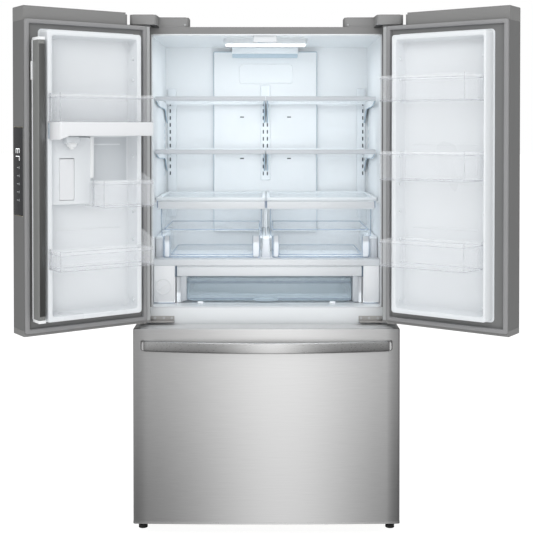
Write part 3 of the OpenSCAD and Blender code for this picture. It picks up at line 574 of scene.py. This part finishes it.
def bin_band(z):
    """The white band round the foot of the top bin, with its deeper free end."""
    bm = new()
    x, y = (-389, -60.4), (47, 138.4)
    low, high = z
    shape = [(7, low), (1, low + 1), (0, low + 3), (0, high - 2), (-0.8, high - 1), (-0.8, high), (3.5, high),
             (3.5, low + 6), (8, low + 4)]
    bin_ring(bm, x, y, 0, shape, False)
    block(bm, (-366, -84), (-6, 52), (low + 0.5, low + 4), 1)
    piece("left_bin_band", bm, "band_white", "left_door")
    bm = new()
    end = [(-59.6, high - 0.5), (-59.6, low - 11), (-63, low - 11), (-90, low + 1), (-100, low + 2),
           (-100, high - 0.5)]
    prism(bm, end, "front", 49, 137.8, 1.5, 2)
    piece("left_bin_end", bm, "band_white", "left_door")
    # A thin line of painted shade down the band's free end.
    bm = new()
    block(bm, (-59.8, -58.9), (51, 57), (low - 8, high - 4), 0.3)
    piece("left_bin_end_shade_line", bm, "edge_shade", "left_door")


def bin_end_panel(name, z, rear):
    """A tall clear panel at a bin's hinge end, which rises towards the door."""
    bm = new()
    rise = rear - z[1]
    top = [(138, z[1]), (115, z[1] + rise * 0.15), (90, z[1] + rise * 0.5), (60, rear - 3), (50, rear)]
    prism(bm, [(50, z[0]), (138, z[0])] + top, "side", -387.8, -384.8, 0.8)
    piece(name, bm, "bin_lip", "left_door")


BIN_X = (-387.5, -61.5)
# The right door's bins stand between the rims, and their free ends slant back to the door.
RIGHT_X, SLANT = (-387.5, -70), 19.5
for side in ("left", "right"):
    door_shell(side)
for i, z in enumerate(((1483, 1566), (1227, 1320), (946, 1033))):
    replaced = () if i else ("right_door_bins",)
    clear_bin(f"right_bin_{i + 1}", "right_door", RIGHT_X, z, SLANT, replaces=replaced)
clear_bin("left_bin_top", "left_door", BIN_X, (1370, 1502), white=44, replaces=("left_door_bins",))
bin_band((1371, 1415))
clear_bin("left_bin_low", "left_door", BIN_X, (950, 1010))
bin_end_panel("left_bin_low_end", (952, 1037), 1064)
clear_bin("left_bin_small", "left_door", (BIN_X[0], -209), (1142, 1226))
bin_end_panel("left_bin_small_end", (1144, 1226), 1250)

# ---------------------------------------------------------------- fresh food compartment
# Depths from the cabinet's face, and the side walls' place, in millimetres.
SHELF_FRONT = 165
DUCT = 568
BACK = 590
WALL = 408
# The highest slot of a shelf track, the slots' pitch and their length.
SLOT_TOP, SLOT_STEP, SLOT_TALL = 1504, 28, 15
SLOTS = 11


def mouth_bead():
    """A low bead round the mouth of the compartment."""
    bm = new()
    x, z = (-402.5, 402.5), (768, 1724.5)
    ring = [(0, 1.4), (0, -0.32), (1.25, -0.8), (3.75, -0.8), (5, -0.32), (5, 1.4)]
    stack(bm, "front", [(inset(x, d), inset(z, d), 10, y) for d, y in ring], loop=True)
    piece("cavity_mouth_bead", bm, "sill_white", "cabinet")


def duct_panel():
    """The rear duct: its face, side seams with painted shade, top hood with painted shade on its lower half,
    blank plate, slots and clips.
    """
    bm = new()
    block(bm, (-212, 202), (DUCT, BACK), (980, 1706), 3, 3)
    white("duct_panel", bm, "inner_white", ["air_duct_cover"])
    # Dark strips at the panel's sides and along its top: painted shade in the seams.
    bm = new()
    for x in (-214.5, 202.4):
        block(bm, (x, x + 2.2), (DUCT + 10, BACK - 0.4), (980, 1707))
    block(bm, (-212, -140), (DUCT - 0.5, DUCT + 6), (1705, 1708))
    block(bm, (128, 202), (DUCT - 0.5, DUCT + 6), (1705, 1708))
    white("duct_seams", bm, "shade")
    bm = new()
    block(bm, (-139, 127), (DUCT - 16, DUCT + 2), (1698, 1725), 2)
    white("duct_hood", bm, "cool_white")
    # The hood's lower half, in the darker blue-grey: painted shade under the hood.
    bm = new()
    block(bm, (-137, 125), (DUCT - 15, DUCT + 2), (1682, 1699), 3, 3)
    white("duct_hood_lower_shade", bm, "shade")
    bm = new()
    plate = [(0, 1), (0, -1.2), (1.6, -2.4), (3.4, -1.2), (4.4, -0.2), (4.4, 1)]
    stack(bm, "front", [(inset((-111, 107), d), inset((1578, 1658), d), 9, DUCT + y) for d, y in plate],
          loop=True)
    white("duct_plate_frame", bm, "inner_white")
    bm = new()
    for z in (1444, 1277):
        for x in (-99, 91):
            block(bm, (x - 8, x + 8), (DUCT - 0.6, DUCT + 3), (z - 2.4, z + 2.4), 1)
    white("duct_slots", bm, "dark_slot")
    bm = new()
    ring = [(0, 1), (0, -3), (2, -4), (4, -3), (4, 1)]
    for x in (-12, 4):
        levels = [(inset((x - 8, x + 8), d), inset((1533, 1549), d), 8 - d, DUCT + y) for d, y in ring]
        stack(bm, "front", levels, loop=True)
    white("duct_clips", bm, "shade")


def mirrored(s, a, b):
    """A range of x on the side s."""
    return tuple(sorted((s * a, s * b)))


def tracks():
    """Shelf tracks: two at the walls and one at the middle, with their slots."""
    pads, dashes, faint = new(), new(), new()
    slots = [(SLOT_TOP - i * SLOT_STEP - SLOT_TALL, SLOT_TOP - i * SLOT_STEP) for i in range(SLOTS)]
    for s in (-1, 1):
        block(pads, mirrored(s, 402, 365), (BACK - 6, BACK), (1038, 1560), 4, 3)
        for i, z in enumerate(slots):
            block(dashes, mirrored(s, 393, 387.5), (BACK - 6.6, BACK - 2), z, 1)
            if i > 2:
                block(faint, mirrored(s, WALL, WALL - 0.8), (532, 540), z)
    block(pads, (-24, 15), (DUCT - 7, DUCT + 1), (1190, 1572), 3, 3)
    for x in (-15.2, 1.0):
        for z in slots:
            block(dashes, (x, x + 5), (DUCT - 7.6, DUCT - 3), z, 1)
    piece("track_pads", pads, "cool_white", "cabinet", ["shelf_tracks"])
    piece("track_slots", dashes, "dark_slot", "cabinet")
    piece("wall_slots", faint, "shade", "cabinet")


def shelf(n, z):
    """Two half shelves: front trim, shaped arms, back bar."""
    trim, arms, edge = new(), new(), new()
    # The trim's section has a lower lip.
    section = [(-3, 5), (-5, 7), (12, 8), (16, 2), (12, -9), (-1, -9), (-4, -4)]
    for x in ((-405, -5), (-2, 398)):
        prism(trim, [(SHELF_FRONT + y, z + h) for y, h in section], "side", x[0], x[1], 1.2, 2)
        block(arms, x, (538, 552), (z - 12, z + 6), 2)
    arm = [(170, 3), (176, 9), (215, 19), (278, 26), (400, 29), (470, 31), (500, 38), (530, 58), (556, 76),
           (578, 84), (582, 80), (582, 6)]
    for x, end in ((-404, 582), (-10, 561), (1.5, 561), (394, 582)):
        outline = [(min(y, end), z - down) for y, down in arm]
        prism(arms, outline, "side", x, x + 3.5, 0.8)
        # A thin bead swept along each arm's lower edge is painted shade, darkening that edge.
        low = outline[:-2]
        path = [(x + 1.75, y, h - 0.5) for y, h in low]
        sweep(edge, path, corners((-2.6, 2.6), (-1.5, 1.5), 1, 2), (1, 0, 0))
    white(f"shelf_{n}_trim", trim, "shelf_trim", ["shelf_frames"])
    white(f"shelf_{n}_arms", arms, "cool_white")
    white(f"shelf_{n}_arm_edge_shade", edge, "edge_shade")


def flat_ring(bm, x, y, r, levels):
    """A ring that lies flat, with its levels given as (inset, height)."""
    stack(bm, "plan", [(inset(x, d), inset(y, d), r, h) for d, h in levels], loop=True)


def crispers():
    """The glass cover over the crispers, the two bins with their trims, and what carries them."""
    bm = new()
    for x in ((-404, -4), (0, 404)):
        flat_ring(bm, x, (169, 566), 4, ((0, 1134), (0, 1143), (1, 1144), (11, 1144), (12, 1143), (12, 1134)))
    for x in (-6.5, -1.5):
        block(bm, (x, x + 2), (190, 545), (1001, 1137), 0.6)
    white("crisper_cover_frame", bm, "cool_white", ["crisper_cover"])
    bm = new()
    for x in ((-394, -14), (10, 394)):
        block(bm, x, (180, 555), (1138, 1142), 1)
    piece("crisper_cover_glass", bm, "glass", "cabinet")
    bm = new()
    for x in ((-24, -16), (13, 19.5)):
        block(bm, x, (187, 545), (992, 1000), 1.5)
    for x in ((-407, -378.5), (376.5, 407)):
        block(bm, x, (187, 545), (922, 1000), 3)
    block(bm, (-15, 12), (187, 545), (922, 1000), 3)
    white("crisper_ledges", bm, "cool_white")
    for side, x in (("left", (-397, -5)), ("right", (1, 395))):
        body = side + "_crisper"
        low, step, high = inset(x, 21), inset(x, 15), inset(x, 13)
        bm = new()
        outer, inner = (170, 540), (173, 537)
        shape = [(low, (172, 538), 8, 925), (low, (171, 539), 9, 930), (low, outer, 9, 1001.5),
                 (step, outer, 8, 1004), (high, outer, 6, 1126), (inset(high, 3), inner, 6, 1126),
                 (inset(step, 3), inner, 8, 1007), (inset(low, 3), inner, 8, 1004),
                 (inset(low, 3), (175, 535), 8, 934), (inset(low, 6), (178, 532), 8, 929)]
        stack(bm, "plan", shape)
        piece(side + "_crisper_bin", bm, "crisper", body, [side + "_crisper"])
        bm = new()
        edges = [(high, 1126), (step, 1005), (low, 1002), (low, 928)]
        for i in (0, 1):
            path = [(r[i], 168, h) for r, h in edges]
            sweep(bm, path, corners((-1.3, 1.3), (-2, 2), 1, 2), (1, 0, 0))
        block(bm, low, (166, 170), (925.2, 929), 1.2)
        flat_ring(bm, inset(x, 20), (176, 536), 8, ((0, 1025), (0, 1028), (3, 1028), (3, 1025)))
        flat_ring(bm, inset(x, 44), (196, 520), 12, ((0, 931), (0, 934), (3, 934), (3, 931)))
        piece(side + "_crisper_edges", bm, "crisper_line", body)
        bm = new()
        front = [(160, 1103), (158, 1108), (158, 1122), (161, 1129), (168, 1132), (176, 1132), (176, 1103)]
        prism(bm, front, "side", x[0] + 1, x[1] - 1, 1.2, 2)
        for h in (1112, 1119):
            block(bm, inset(x, 6), (157.5, 160), (h, h + 1.6), 0.6)
        piece(side + "_crisper_trim", bm, "sill_white", body, [side + "_crisper_front"])
        bm = new()
        for a in ((x[0] - 1.5, x[0] + 0.8), (x[1] - 0.8, x[1] + 1.5)):
            block(bm, a, (158.5, 163), (1107, 1132), 0.6)
        piece(side + "_crisper_trim_ends", bm, "blue_edge", body)
        posts, lines = new(), new()
        for a in ((x[0] + 25, x[0] + 44), (x[1] - 45, x[1] - 21)):
            block(posts, a, (162, 169), (934, 1004), 1.2, 2)
            block(posts, inset(a, 3), (161, 164), (928, 940), 1)
            for u in a:
                block(lines, (u - 0.9, u + 0.9), (160.8, 168), (932, 1006), 0.4)
        piece(side + "_crisper_posts", posts, "shelf_trim", body)
        piece(side + "_crisper_post_edges", lines, "crisper_line", body)
    bm = new()
    prism(bm, [(-19, 924), (-13, 990), (10, 990), (16, 924)], "front", 178, 190, 2)
    for x in ((-406, -378), (380, 406)):
        block(bm, x, (178, 190), (922, 992), 2)
    white("crisper_divider_foot", bm, "shelf_trim")


# Centre of the water filter's cap, as (x, z).
FILTER = (-371, 826)


def filter_point(x, z, tilt=0.6):
    """A point on the filter's cap, in the frame of its slanted bar."""
    c, s = math.cos(tilt), math.sin(tilt)
    return (FILTER[0] + x * c - z * s, FILTER[1] + x * s + z * c)


def deli():
    """The beam under the crispers, the bays beside the deli drawer, the water filter and the drawer."""
    bm = new()
    prism(bm, [(112, 901), (109, 904), (109, 920), (112, 924.6), (400, 924.6), (400, 920), (150, 918),
               (134, 901)], "side", -407, 407, 1.2, 2)
    white("deli_surround", bm, "sill_white", ["deli_cover"])
    # The housings take a lighter white than the sill of the same plastic: painted light.
    bm = new()
    for x in ((-407, -329), (348, 407)):
        stack(bm, "front", [(inset(x, d), inset((767, 903), d), 4, y)
                            for d, y in ((0, 420), (0, 116), (1, 112), (4, 110))])
    white("deli_housings", bm, "housing")
    # Dark blocks that paint shade in the gaps beside the housings and along the housings' foot.
    bm = new()
    for a in ((-329, -324), (343.5, 348)):
        block(bm, a, (116, 300), (862, 900.5), 0.5)
    for a in ((-404, -330), (349, 404)):
        block(bm, a, (110.5, 114), (766.5, 769), 0.4)
    white("deli_gaps", bm, "deep_shade")
    bm = new()
    for x in ((-316, -300), (316, 336)):
        block(bm, x, (127, 520), (768, 858), 3)
    for x in ((-324.5, -309.5), (331.5, 343)):
        block(bm, x, (118, 150), (768, 862), 1)
    for x in ((-248, -228), (228, 248)):
        block(bm, x, (112.5, 115.8), (766.4, 773), 0.4)
    white("deli_runners", bm, "sill_white")
    bm = new()
    cap = [(26, 330), (26, 125), (28, 112), (29, 110), (29, 107.6), (27.6, 106.6), (26.4, 107.4), (25, 108.8),
           (8, 108.8)]
    circle = [(math.cos(t), math.sin(t)) for t in turns(64)]
    skin(bm, [[(FILTER[0] + r * c, y, FILTER[1] + r * s) for c, s in circle] for r, y in cap])
    bar = [filter_point(x, z) for x, z in ((-20, -2.4), (20, -2.4), (20, 2.4), (-20, 2.4))]
    prism(bm, bar, "front", 106.8, 109.6, 1, 2)
    piece("water_filter_cap", bm, "housing", "water_filter", ["water_filter"])
    # Drawer.
    bm = new()
    x = (-290, 308)
    shape = [(8, 774), (2, 778), (0, 790), (0, 858), (3, 858), (3, 792), (6, 781), (10, 778)]
    stack(bm, "plan", [(inset(x, d), inset((114, 520), d), 12, h) for d, h in shape])
    piece("deli_bin", bm, "deli", "deli_drawer", ["deli_drawer"])
    bm = new()
    for z in (838, 778):
        block(bm, inset(x, 4), (111, 114.5), (z, z + 8), 2)
    for z in (842, 792):
        flat_ring(bm, inset(x, 10), (128, 516), 12, ((0, z), (0, z + 6), (3, z + 6), (3, z)))
    piece("deli_bin_edges", bm, "deli_line", "deli_drawer")
    bm = new()
    front = [(103, 866), (101.5, 870), (101.5, 888), (104, 896), (112, 900.6), (124, 900.6), (124, 866)]
    prism(bm, front, "side", -322, 342, 1.5, 3)
    piece("deli_trim", bm, "sill_white", "deli_drawer", ["deli_front"])
    bm = new()
    for a in ((-309, -288), (310, 331)):
        block(bm, a, (108, 122), (776, 868), 1.5, 2)
    piece("deli_posts", bm, "shelf_trim", "deli_drawer")
    bm = new()
    oval = [(-4 + 46 * math.cos(t), 780.5 + 6 * math.sin(t)) for t in turns(40)]
    prism(bm, oval, "front", 108, 114, 1.5, 2)
    piece("deli_oval", bm, "shade", "deli_drawer")


def ceiling():
    """The lamp and the guide of the folding bar."""
    bm = new()
    stack(bm, "plan", [((-157, 150), (176, 238), 14, 1727), ((-157, 150), (176, 238), 14, 1710),
                       ((-153, 146), (180, 234), 12, 1706), ((-150, 143), (183, 231), 10, 1706)])
    white("lamp_base", bm, "cool_white", ["ceiling_light"])
    bm = new()
    stack(bm, "plan", [((-150, 143), (184, 214), 10, 1707), ((-150, 143), (184, 214), 10, 1700),
                       ((-148, 141), (186, 212), 9, 1698), ((-144, 137), (190, 208), 7, 1697.2)])
    piece("lamp_lens", bm, "lamp", "cabinet")
    bm = new()
    stack(bm, "front", [((-47, 37), (1697, 1727), 3, 52), ((-47, 37), (1697, 1727), 3, 14),
                        ((-45, 35), (1699, 1727), 3, 10)])
    white("bar_guide", bm, "sill_white", ["mullion_guide"])
    bm = new()
    track = [(-30, 12), (-30, 22), (-20, 34), (-4, 36), (-4, 30), (-16, 28), (-22, 20), (-22, 12)]
    prism(bm, track, "plan", 1696.4, 1699)
    white("bar_guide_track", bm, "shade")


mouth_bead()
duct_panel()
tracks()
shelf("upper", 1506)
shelf("lower", 1312)
crispers()
deli()
ceiling()

# ---------------------------------------------------------------- freezer drawer
DRAWER = (49, 715)


def drawer_line(grow):
    return front_line(grow, -HALF, HALF, HINGE_R, HINGE_R)


def drawer_plan(grow):
    return [(-HALF - grow, REAR - 0.4)] + drawer_line(grow) + [(HALF + grow, REAR - 0.4)]


def freezer():
    """The drawer's steel front, lower lip, top trim, bowed handle and gasket."""
    bm = new()
    profile = [(-3.5, 0), (-1.4, 0.5), (-0.2, 2), (0.4, 4.6)]
    levels = [(g, DRAWER[0] - 0.2 + h) for g, h in profile]
    levels += [(g, DRAWER[1] + 0.2 - h) for g, h in profile[::-1]]
    skin(bm, [[(x, y, h) for x, y in drawer_plan(g)] for g, h in levels])
    piece("freezer_front_skin", bm, "steel", "freezer_drawer", ["freezer_panel"], 40)
    bm = new()
    loop = drawer_line(1.0) + drawer_line(-0.6)[::-1]
    skin(bm, [[(x, y, h) for x, y in loop] for h in (DRAWER[0] - 0.6, DRAWER[0] + 7)])
    piece("freezer_front_lip", bm, "handle", "freezer_drawer")
    bm = new()
    block(bm, (-430, 430), (-96, -16), (DRAWER[1] - 1, DRAWER[1] + 0.9), 0.8)
    piece("freezer_front_top_trim", bm, "top_trim", "freezer_drawer")
    bm = new()
    path = []
    for i in range(97):
        t = -1 + i / 48
        x = t * 423
        end = min(1.0, (1 - abs(t)) / 0.06)
        s = math.sqrt(max(0.0, 1 - (1 - end) ** 2))
        y = (FRONT - 4.5 - 42 * (1 - t * t)) * s + (bow_y(x) + 3) * (1 - s)
        path.append((x, y, 658.5))
    sweep(bm, path, [(b, a) for a, b in corners((-6.5, 6.5), (-18, 18), 6, 5)], (0, 0, 1))
    for s in (-1, 1):
        x = (s * 410 - 15, s * 410 + 15)
        stack(bm, "front", [(x, (641, 676), 8, FRONT + 7), (inset(x, 0.5), (642, 675), 8, FRONT),
                            (inset(x, 2), (644, 673), 7, FRONT - 8)])
    piece("freezer_handle_bar", bm, "handle", "freezer_drawer", ["freezer_handle"], 40)
    gasket("freezer_gasket_fold", (-436, 436), (80, 709), "freezer_drawer", "freezer_gasket")


# ---------------------------------------------------------------- outside fittings
def hinge_covers():
    """A top cover at each side, with its screws and a black sheet of painted shade in the gap below its arm.
    """
    for s, side in ((-1, "left"), (1, "right")):
        bm = new()
        line = arc((-438, 88), 10, 180, 90, 5) + arc((-282, 88), 10, 90, 0, 5)
        line += arc((-282, 16), 10, 0, -90, 5) + [(-376, 6), (-376.2, -74)]
        line += arc((-386, -74), 10, 0, -90, 5)[1:] + arc((-454, -72), 12, 270, 180, 6)
        line += [(-466, 4), (-462, 8), (-448, 8)]
        prism(bm, [(-s * x, y) for x, y in line], "plan", 1749.2, 1783, 3, 3)
        piece(side + "_hinge_cover", bm, "hinge_cover", "cabinet", ["top_hinge_covers"])
        bm = new()
        for x, y in ((-288, 22), (-288, 82)):
            rod(bm, (-s * x, y, 1782), (-s * x, y, 1784), 5, 20, 0.8)
        rod(bm, (s * 284, 5, 1757), (s * 284, 7, 1757), 3.6, 20, 0.5)
        piece(side + "_hinge_cover_screws", bm, "zinc", "cabinet")
        # A thin black sheet under the cover's arm is painted shade in the gap.
        bm = new()
        block(bm, mirrored(s, 398, 374), (-58, 5), (1746.4, 1749), 0.4)
        piece(side + "_hinge_cover_gap_shade", bm, "black", "cabinet")


def digit(bm, segments, z0, y0, wide, tall):
    """A seven-segment number that lies on its side on the door's edge."""
    t = 2.2
    middle, y1, z1 = y0 + tall / 2, y0 + tall, z0 + wide
    bars = {
        "a": ((y1 - t, y1), (z0, z1)),
        "b": ((middle, y1), (z1 - t, z1)),
        "c": ((y0, middle), (z1 - t, z1)),
        "d": ((y0, y0 + t), (z0, z1)),
        "e": ((y0, middle), (z0, z0 + t)),
        "f": ((middle, y1), (z0, z0 + t)),
        "g": ((middle - t / 2, middle + t / 2), (z0, z1)),
    }
    for k in segments:
        y, z = bars[k]
        block(bm, (-2.1, -1.5), y, z, 0.25, 1)


def controls():
    """The dark strip in the left door's edge, with a number and plain marks."""
    bm = new()
    stack(bm, "side", [(inset((-97, -21), d), inset((1117, 1399), d), 5 - d, x)
                       for d, x in ((0, -4.0), (0, -2.2), (1, -1.8))])
    piece("control_strip", bm, "strip", "left_door", ["control_panel"])
    bm = new()
    digit(bm, "abgcd", 1316, -76, 15, 30)
    digit(bm, "abc", 1292, -76, 15, 30)
    piece("control_digits", bm, "digits", "left_door")
    bm = new()
    for i in range(5):
        z = 1270 - i * 26
        block(bm, (-2.1, -1.6), (-66, -54), (z - 1.2, z + 1.2), 0.2, 1)
        block(bm, (-2.1, -1.6), (-50, -47), (z - 4, z + 4), 0.2, 1)
    piece("control_marks", bm, "marks", "left_door")


def dispenser():
    """The housing with an opening for its lever, a side wall in a lighter white as painted light, a shaded
    panel and the nozzle.
    """
    bm = new()
    x, z = (-217, -80), (1150, 1367)
    a, b = (-159, -107), (1164, 1299)
    front = [(x, z, 0, 10, -11.8), (x, z, 0, 10, 20), (x, z, 1.5, 9, 23), (x, z, 4, 7, 24), (a, b, -1, 4, 24),
             (a, b, 0, 3, 23), (a, b, 0, 3, -6)]
    stack(bm, "front", [(inset(u, d), inset(v, d), r, y) for u, v, d, r, y in front], n=6)
    spout = [(23, 1346), (23, 1368), (48, 1368), (52, 1360), (52, 1350), (44, 1346)]
    prism(bm, spout, "side", -166, -120, 4, 3)
    piece("dispenser_shell", bm, "liner_white", "left_door", ["dispenser_housing"])
    # The side wall is a real wall, but its white is lighter than the housing's: painted light on its lit
    # face.
    bm = new()
    prism(bm, [(-214, 1368), (-214, 1232), (-226, 1236), (-228, 1368)], "front", -11, 25.5, 1.5, 2)
    piece("dispenser_side_wall_lit", bm, "white", "left_door")
    bm = new()
    block(bm, (-374, -229), (-12.6, -11.4), (1222, 1366), 0.4)
    piece("liner_shaded_panel", bm, "liner_shade", "left_door")
    bm = new()
    rod(bm, (-143, 38, 1352), (-143, 38, 1336), 17, 32, 4)
    rod(bm, (-143, 38, 1338), (-143, 38, 1328), 9, 24, 2)
    piece("dispenser_nozzle", bm, "white", "left_door")
    bm = new()
    stack(bm, "front", [((-158.2, -107.8), (1165, 1297), 3, 10.4), ((-158.2, -107.8), (1165, 1297), 3, 22),
                        ((-157.4, -108.6), (1165.8, 1296.2), 2.5, 23)])
    piece("dispenser_lever", bm, "band_white", "dispenser_paddle", ["dispenser_paddle"])


def folding_bar():
    """The bar, whose face at its high x looks outward when it is folded against the open door."""
    bm = new()
    stack(bm, "plan", [((-34.2, 15.2), (1.2, 22.8), 3, 782), ((-34.5, 15.5), (1, 23), 3, 783.5),
                       ((-34.5, 15.5), (1, 23), 3, 1680.5), ((-34.2, 15.2), (1.2, 22.8), 3, 1682)])
    piece("folding_bar_body", bm, "bar_grey", "mullion_bar", ["mullion_bar"])
    # A steel plate on the face at high x. Its grey is set apart from the body's grey as painted light and
    # shade between the bar's two faces.
    bm = new()
    block(bm, (14.9, 16.2), (3, 21.5), (804, 1660), 0.5)
    piece("folding_bar_plate", bm, "bar_plate", "mullion_bar")
    bm = new()
    for z in (782, 1672):
        block(bm, (-35.2, 16.6), (0.2, 23.8), (z, z + 10), 2, 2)
    block(bm, (-35.2, -30.5), (-0.8, 2.6), (790, 1674), 0.8)
    block(bm, (-36.5, -29), (-4.5, 4), (1548, 1608), 2.5, 2)
    piece("folding_bar_ends", bm, "white", "mullion_bar")


# A levelling foot from the floor up: pad, waist, collar, hexagon and stem, as (radius, low, high, sides).
FOOT = [(16, 0, 4, 40), (14, 3.5, 8, 40), (16, 7.5, 10.5, 40), (9.4, 10, 15, 6), (4.9, 14, 56, 20)]
FOOT_X = 432


def feet():
    for s, side in ((-1, "left"), (1, "right")):
        bm = new()
        for r, lo, hi, seg in FOOT:
            rod(bm, (s * FOOT_X, 0, lo), (s * FOOT_X, 0, hi), r, seg, 0.8)
        piece(side + "_foot_pad", bm, "rubber", side + "_foot", [side + "_foot"])


freezer()
hinge_covers()
controls()
dispenser()
folding_bar()
feet()


# ---------------------------------------------------------------- camera, light and floor
cam = bpy.data.objects.new("camera", bpy.data.cameras.new("camera"))
cam.data.lens = 69.26
cam.data.sensor_width = 36
cam.data.shift_y = -0.2218
cam.location = (0, -3.9427, 1.383)
cam.rotation_euler = (math.radians(90 - 0.9), 0, 0)
scene.collection.objects.link(cam)
scene.camera = cam
scene.view_settings.view_transform = "Standard"
scene.cycles.transparent_max_bounces = 32


def area(name, at, aim, size, power, color=(1, 1, 1)):
    """A rectangular lamp at a place, turned towards aim."""
    data = bpy.data.lights.new(name, "AREA")
    data.shape = "RECTANGLE"
    data.size, data.size_y = size
    data.energy = power
    data.color = color
    lamp = bpy.data.objects.new(name, data)
    lamp.location = at
    lamp.rotation_euler = (Vector(aim) - Vector(at)).to_track_quat("-Z", "Y").to_euler()
    scene.collection.objects.link(lamp)
    return lamp


key = area("key_light", (-1.6, -4.2, 3.6), (0, 0, 0.9), (2.2, 1.6), 46)
fill = area("fill_light", (2.4, -3.6, 2.6), (0, 0, 0.8), (2.0, 2.0), 27)
area("top_light", (0, -0.4, 4.2), (0, -0.2, 1.2), (3.0, 2.2), 30)
COOL = (0.97, 0.985, 1.0)
LIT_Y = FACE + 0.215
area("inside_light", (0, FACE + 0.20, 1.70), (0, FACE + 0.34, 0.9), (0.62, 0.06), 0.8, COOL)
mouth = area("mouth_light", (0, LIT_Y, 1.2), (0, FACE + 0.5, 1.13), (0.78, 0.95), 1.35, COOL)
low = area("low_light", (0, LIT_Y, 1.02), (0, FACE + 0.45, 0.93), (0.74, 0.16), 0.4, COOL)
for lamp in (key, fill, mouth, low):
    lamp.visible_glossy = False
for lamp in (mouth, low):
    lamp.visible_camera = False


def spread(nodes, links, value, low, high, to_low, to_high):
    """A node that maps a value from one range to another."""
    node = nodes.new("ShaderNodeMapRange")
    for socket, number in (("From Min", low), ("From Max", high), ("To Min", to_low), ("To Max", to_high)):
        node.inputs[socket].default_value = number
    links.new(value, node.inputs["Value"])
    return node.outputs["Result"]


def combine(nodes, links, operation, a, b):
    """A maths node. A number as b is set on its socket."""
    node = nodes.new("ShaderNodeMath")
    node.operation = operation
    links.new(a, node.inputs[0])
    if isinstance(b, (int, float)):
        node.inputs[1].default_value = b
    else:
        links.new(b, node.inputs[1])
    return node.outputs["Value"]


# The studio's brightness from its left to its right, as (place, brightness).
STUDIO = [(0.0, 0.3), (0.27, 0.19), (0.335, 0.215), (0.38, 0.34), (0.43, 0.53), (0.48, 0.79), (0.53, 1.0),
          (0.56, 0.92), (0.60, 0.56), (0.65, 0.34), (0.70, 0.25), (0.78, 0.18), (1.0, 0.20)]
STUDIO_GAIN = 2.85


def world_light():
    world = bpy.data.worlds.new("studio")
    scene.world = world
    world.use_nodes = True
    nodes, links = world.node_tree.nodes, world.node_tree.links
    shade = nodes["Background"]
    place = nodes.new("ShaderNodeTexCoord")
    split = nodes.new("ShaderNodeSeparateXYZ")
    links.new(place.outputs["Generated"], split.inputs[0])
    x, y, z = split.outputs
    band = nodes.new("ShaderNodeValToRGB")
    stops = band.color_ramp.elements
    while len(stops) < len(STUDIO):
        stops.new(0.5)
    for stop, (at, value) in zip(stops, STUDIO):
        stop.position = at
        stop.color = (value, value, value, 1)
    links.new(spread(nodes, links, x, -0.5, 0.5, 0, 1), band.inputs["Fac"])
    # The band narrows towards the ground.
    narrow = spread(nodes, links, z, -0.45, -0.20, 1.95, 1.0)
    front = combine(nodes, links, "POWER", band.outputs["Color"], narrow)
    front = combine(nodes, links, "MULTIPLY", front, STUDIO_GAIN)
    # Behind, the studio is dark for reflections and bright for everything else.
    path = nodes.new("ShaderNodeLightPath")
    behind = spread(nodes, links, path.outputs["Is Glossy Ray"], 0, 1, 1.0, 0.28)
    mix = nodes.new("ShaderNodeMix")
    mix.data_type = "RGBA"
    links.new(spread(nodes, links, y, -0.75, 0.1, 0, 1), mix.inputs[0])
    links.new(front, mix.inputs[6])
    links.new(behind, mix.inputs[7])
    links.new(mix.outputs[2], shade.inputs["Color"])
    links.new(spread(nodes, links, z, -0.45, -0.05, 0.68, 0.76), shade.inputs["Strength"])
    plain = nodes.new("ShaderNodeBackground")
    plain.inputs["Color"].default_value = (1, 1, 1, 1)
    choose = nodes.new("ShaderNodeMixShader")
    links.new(path.outputs["Is Camera Ray"], choose.inputs[0])
    links.new(shade.outputs[0], choose.inputs[1])
    links.new(plain.outputs[0], choose.inputs[2])
    links.new(choose.outputs[0], nodes["World Output"].inputs["Surface"])


def white_floor():
    mesh = bpy.data.meshes.new("floor")
    bm = new()
    bmesh.ops.create_grid(bm, x_segments=1, y_segments=1, size=60)
    bm.to_mesh(mesh)
    bm.free()
    floor = bpy.data.objects.new("floor", mesh)
    scene.collection.objects.link(floor)
    paint = principled("floor_paint", (0.25, 0.25, 0.25), 0.9)
    vary_rough(paint, noise(paint, 2), 0.8, 0.95)
    _, _, shader = add_nodes(paint)
    shader.inputs["Emission Color"].default_value = (1, 1, 1, 1)
    shader.inputs["Emission Strength"].default_value = 0.93
    mesh.materials.append(paint)
    floor.visible_glossy = False


world_light()
white_floor()
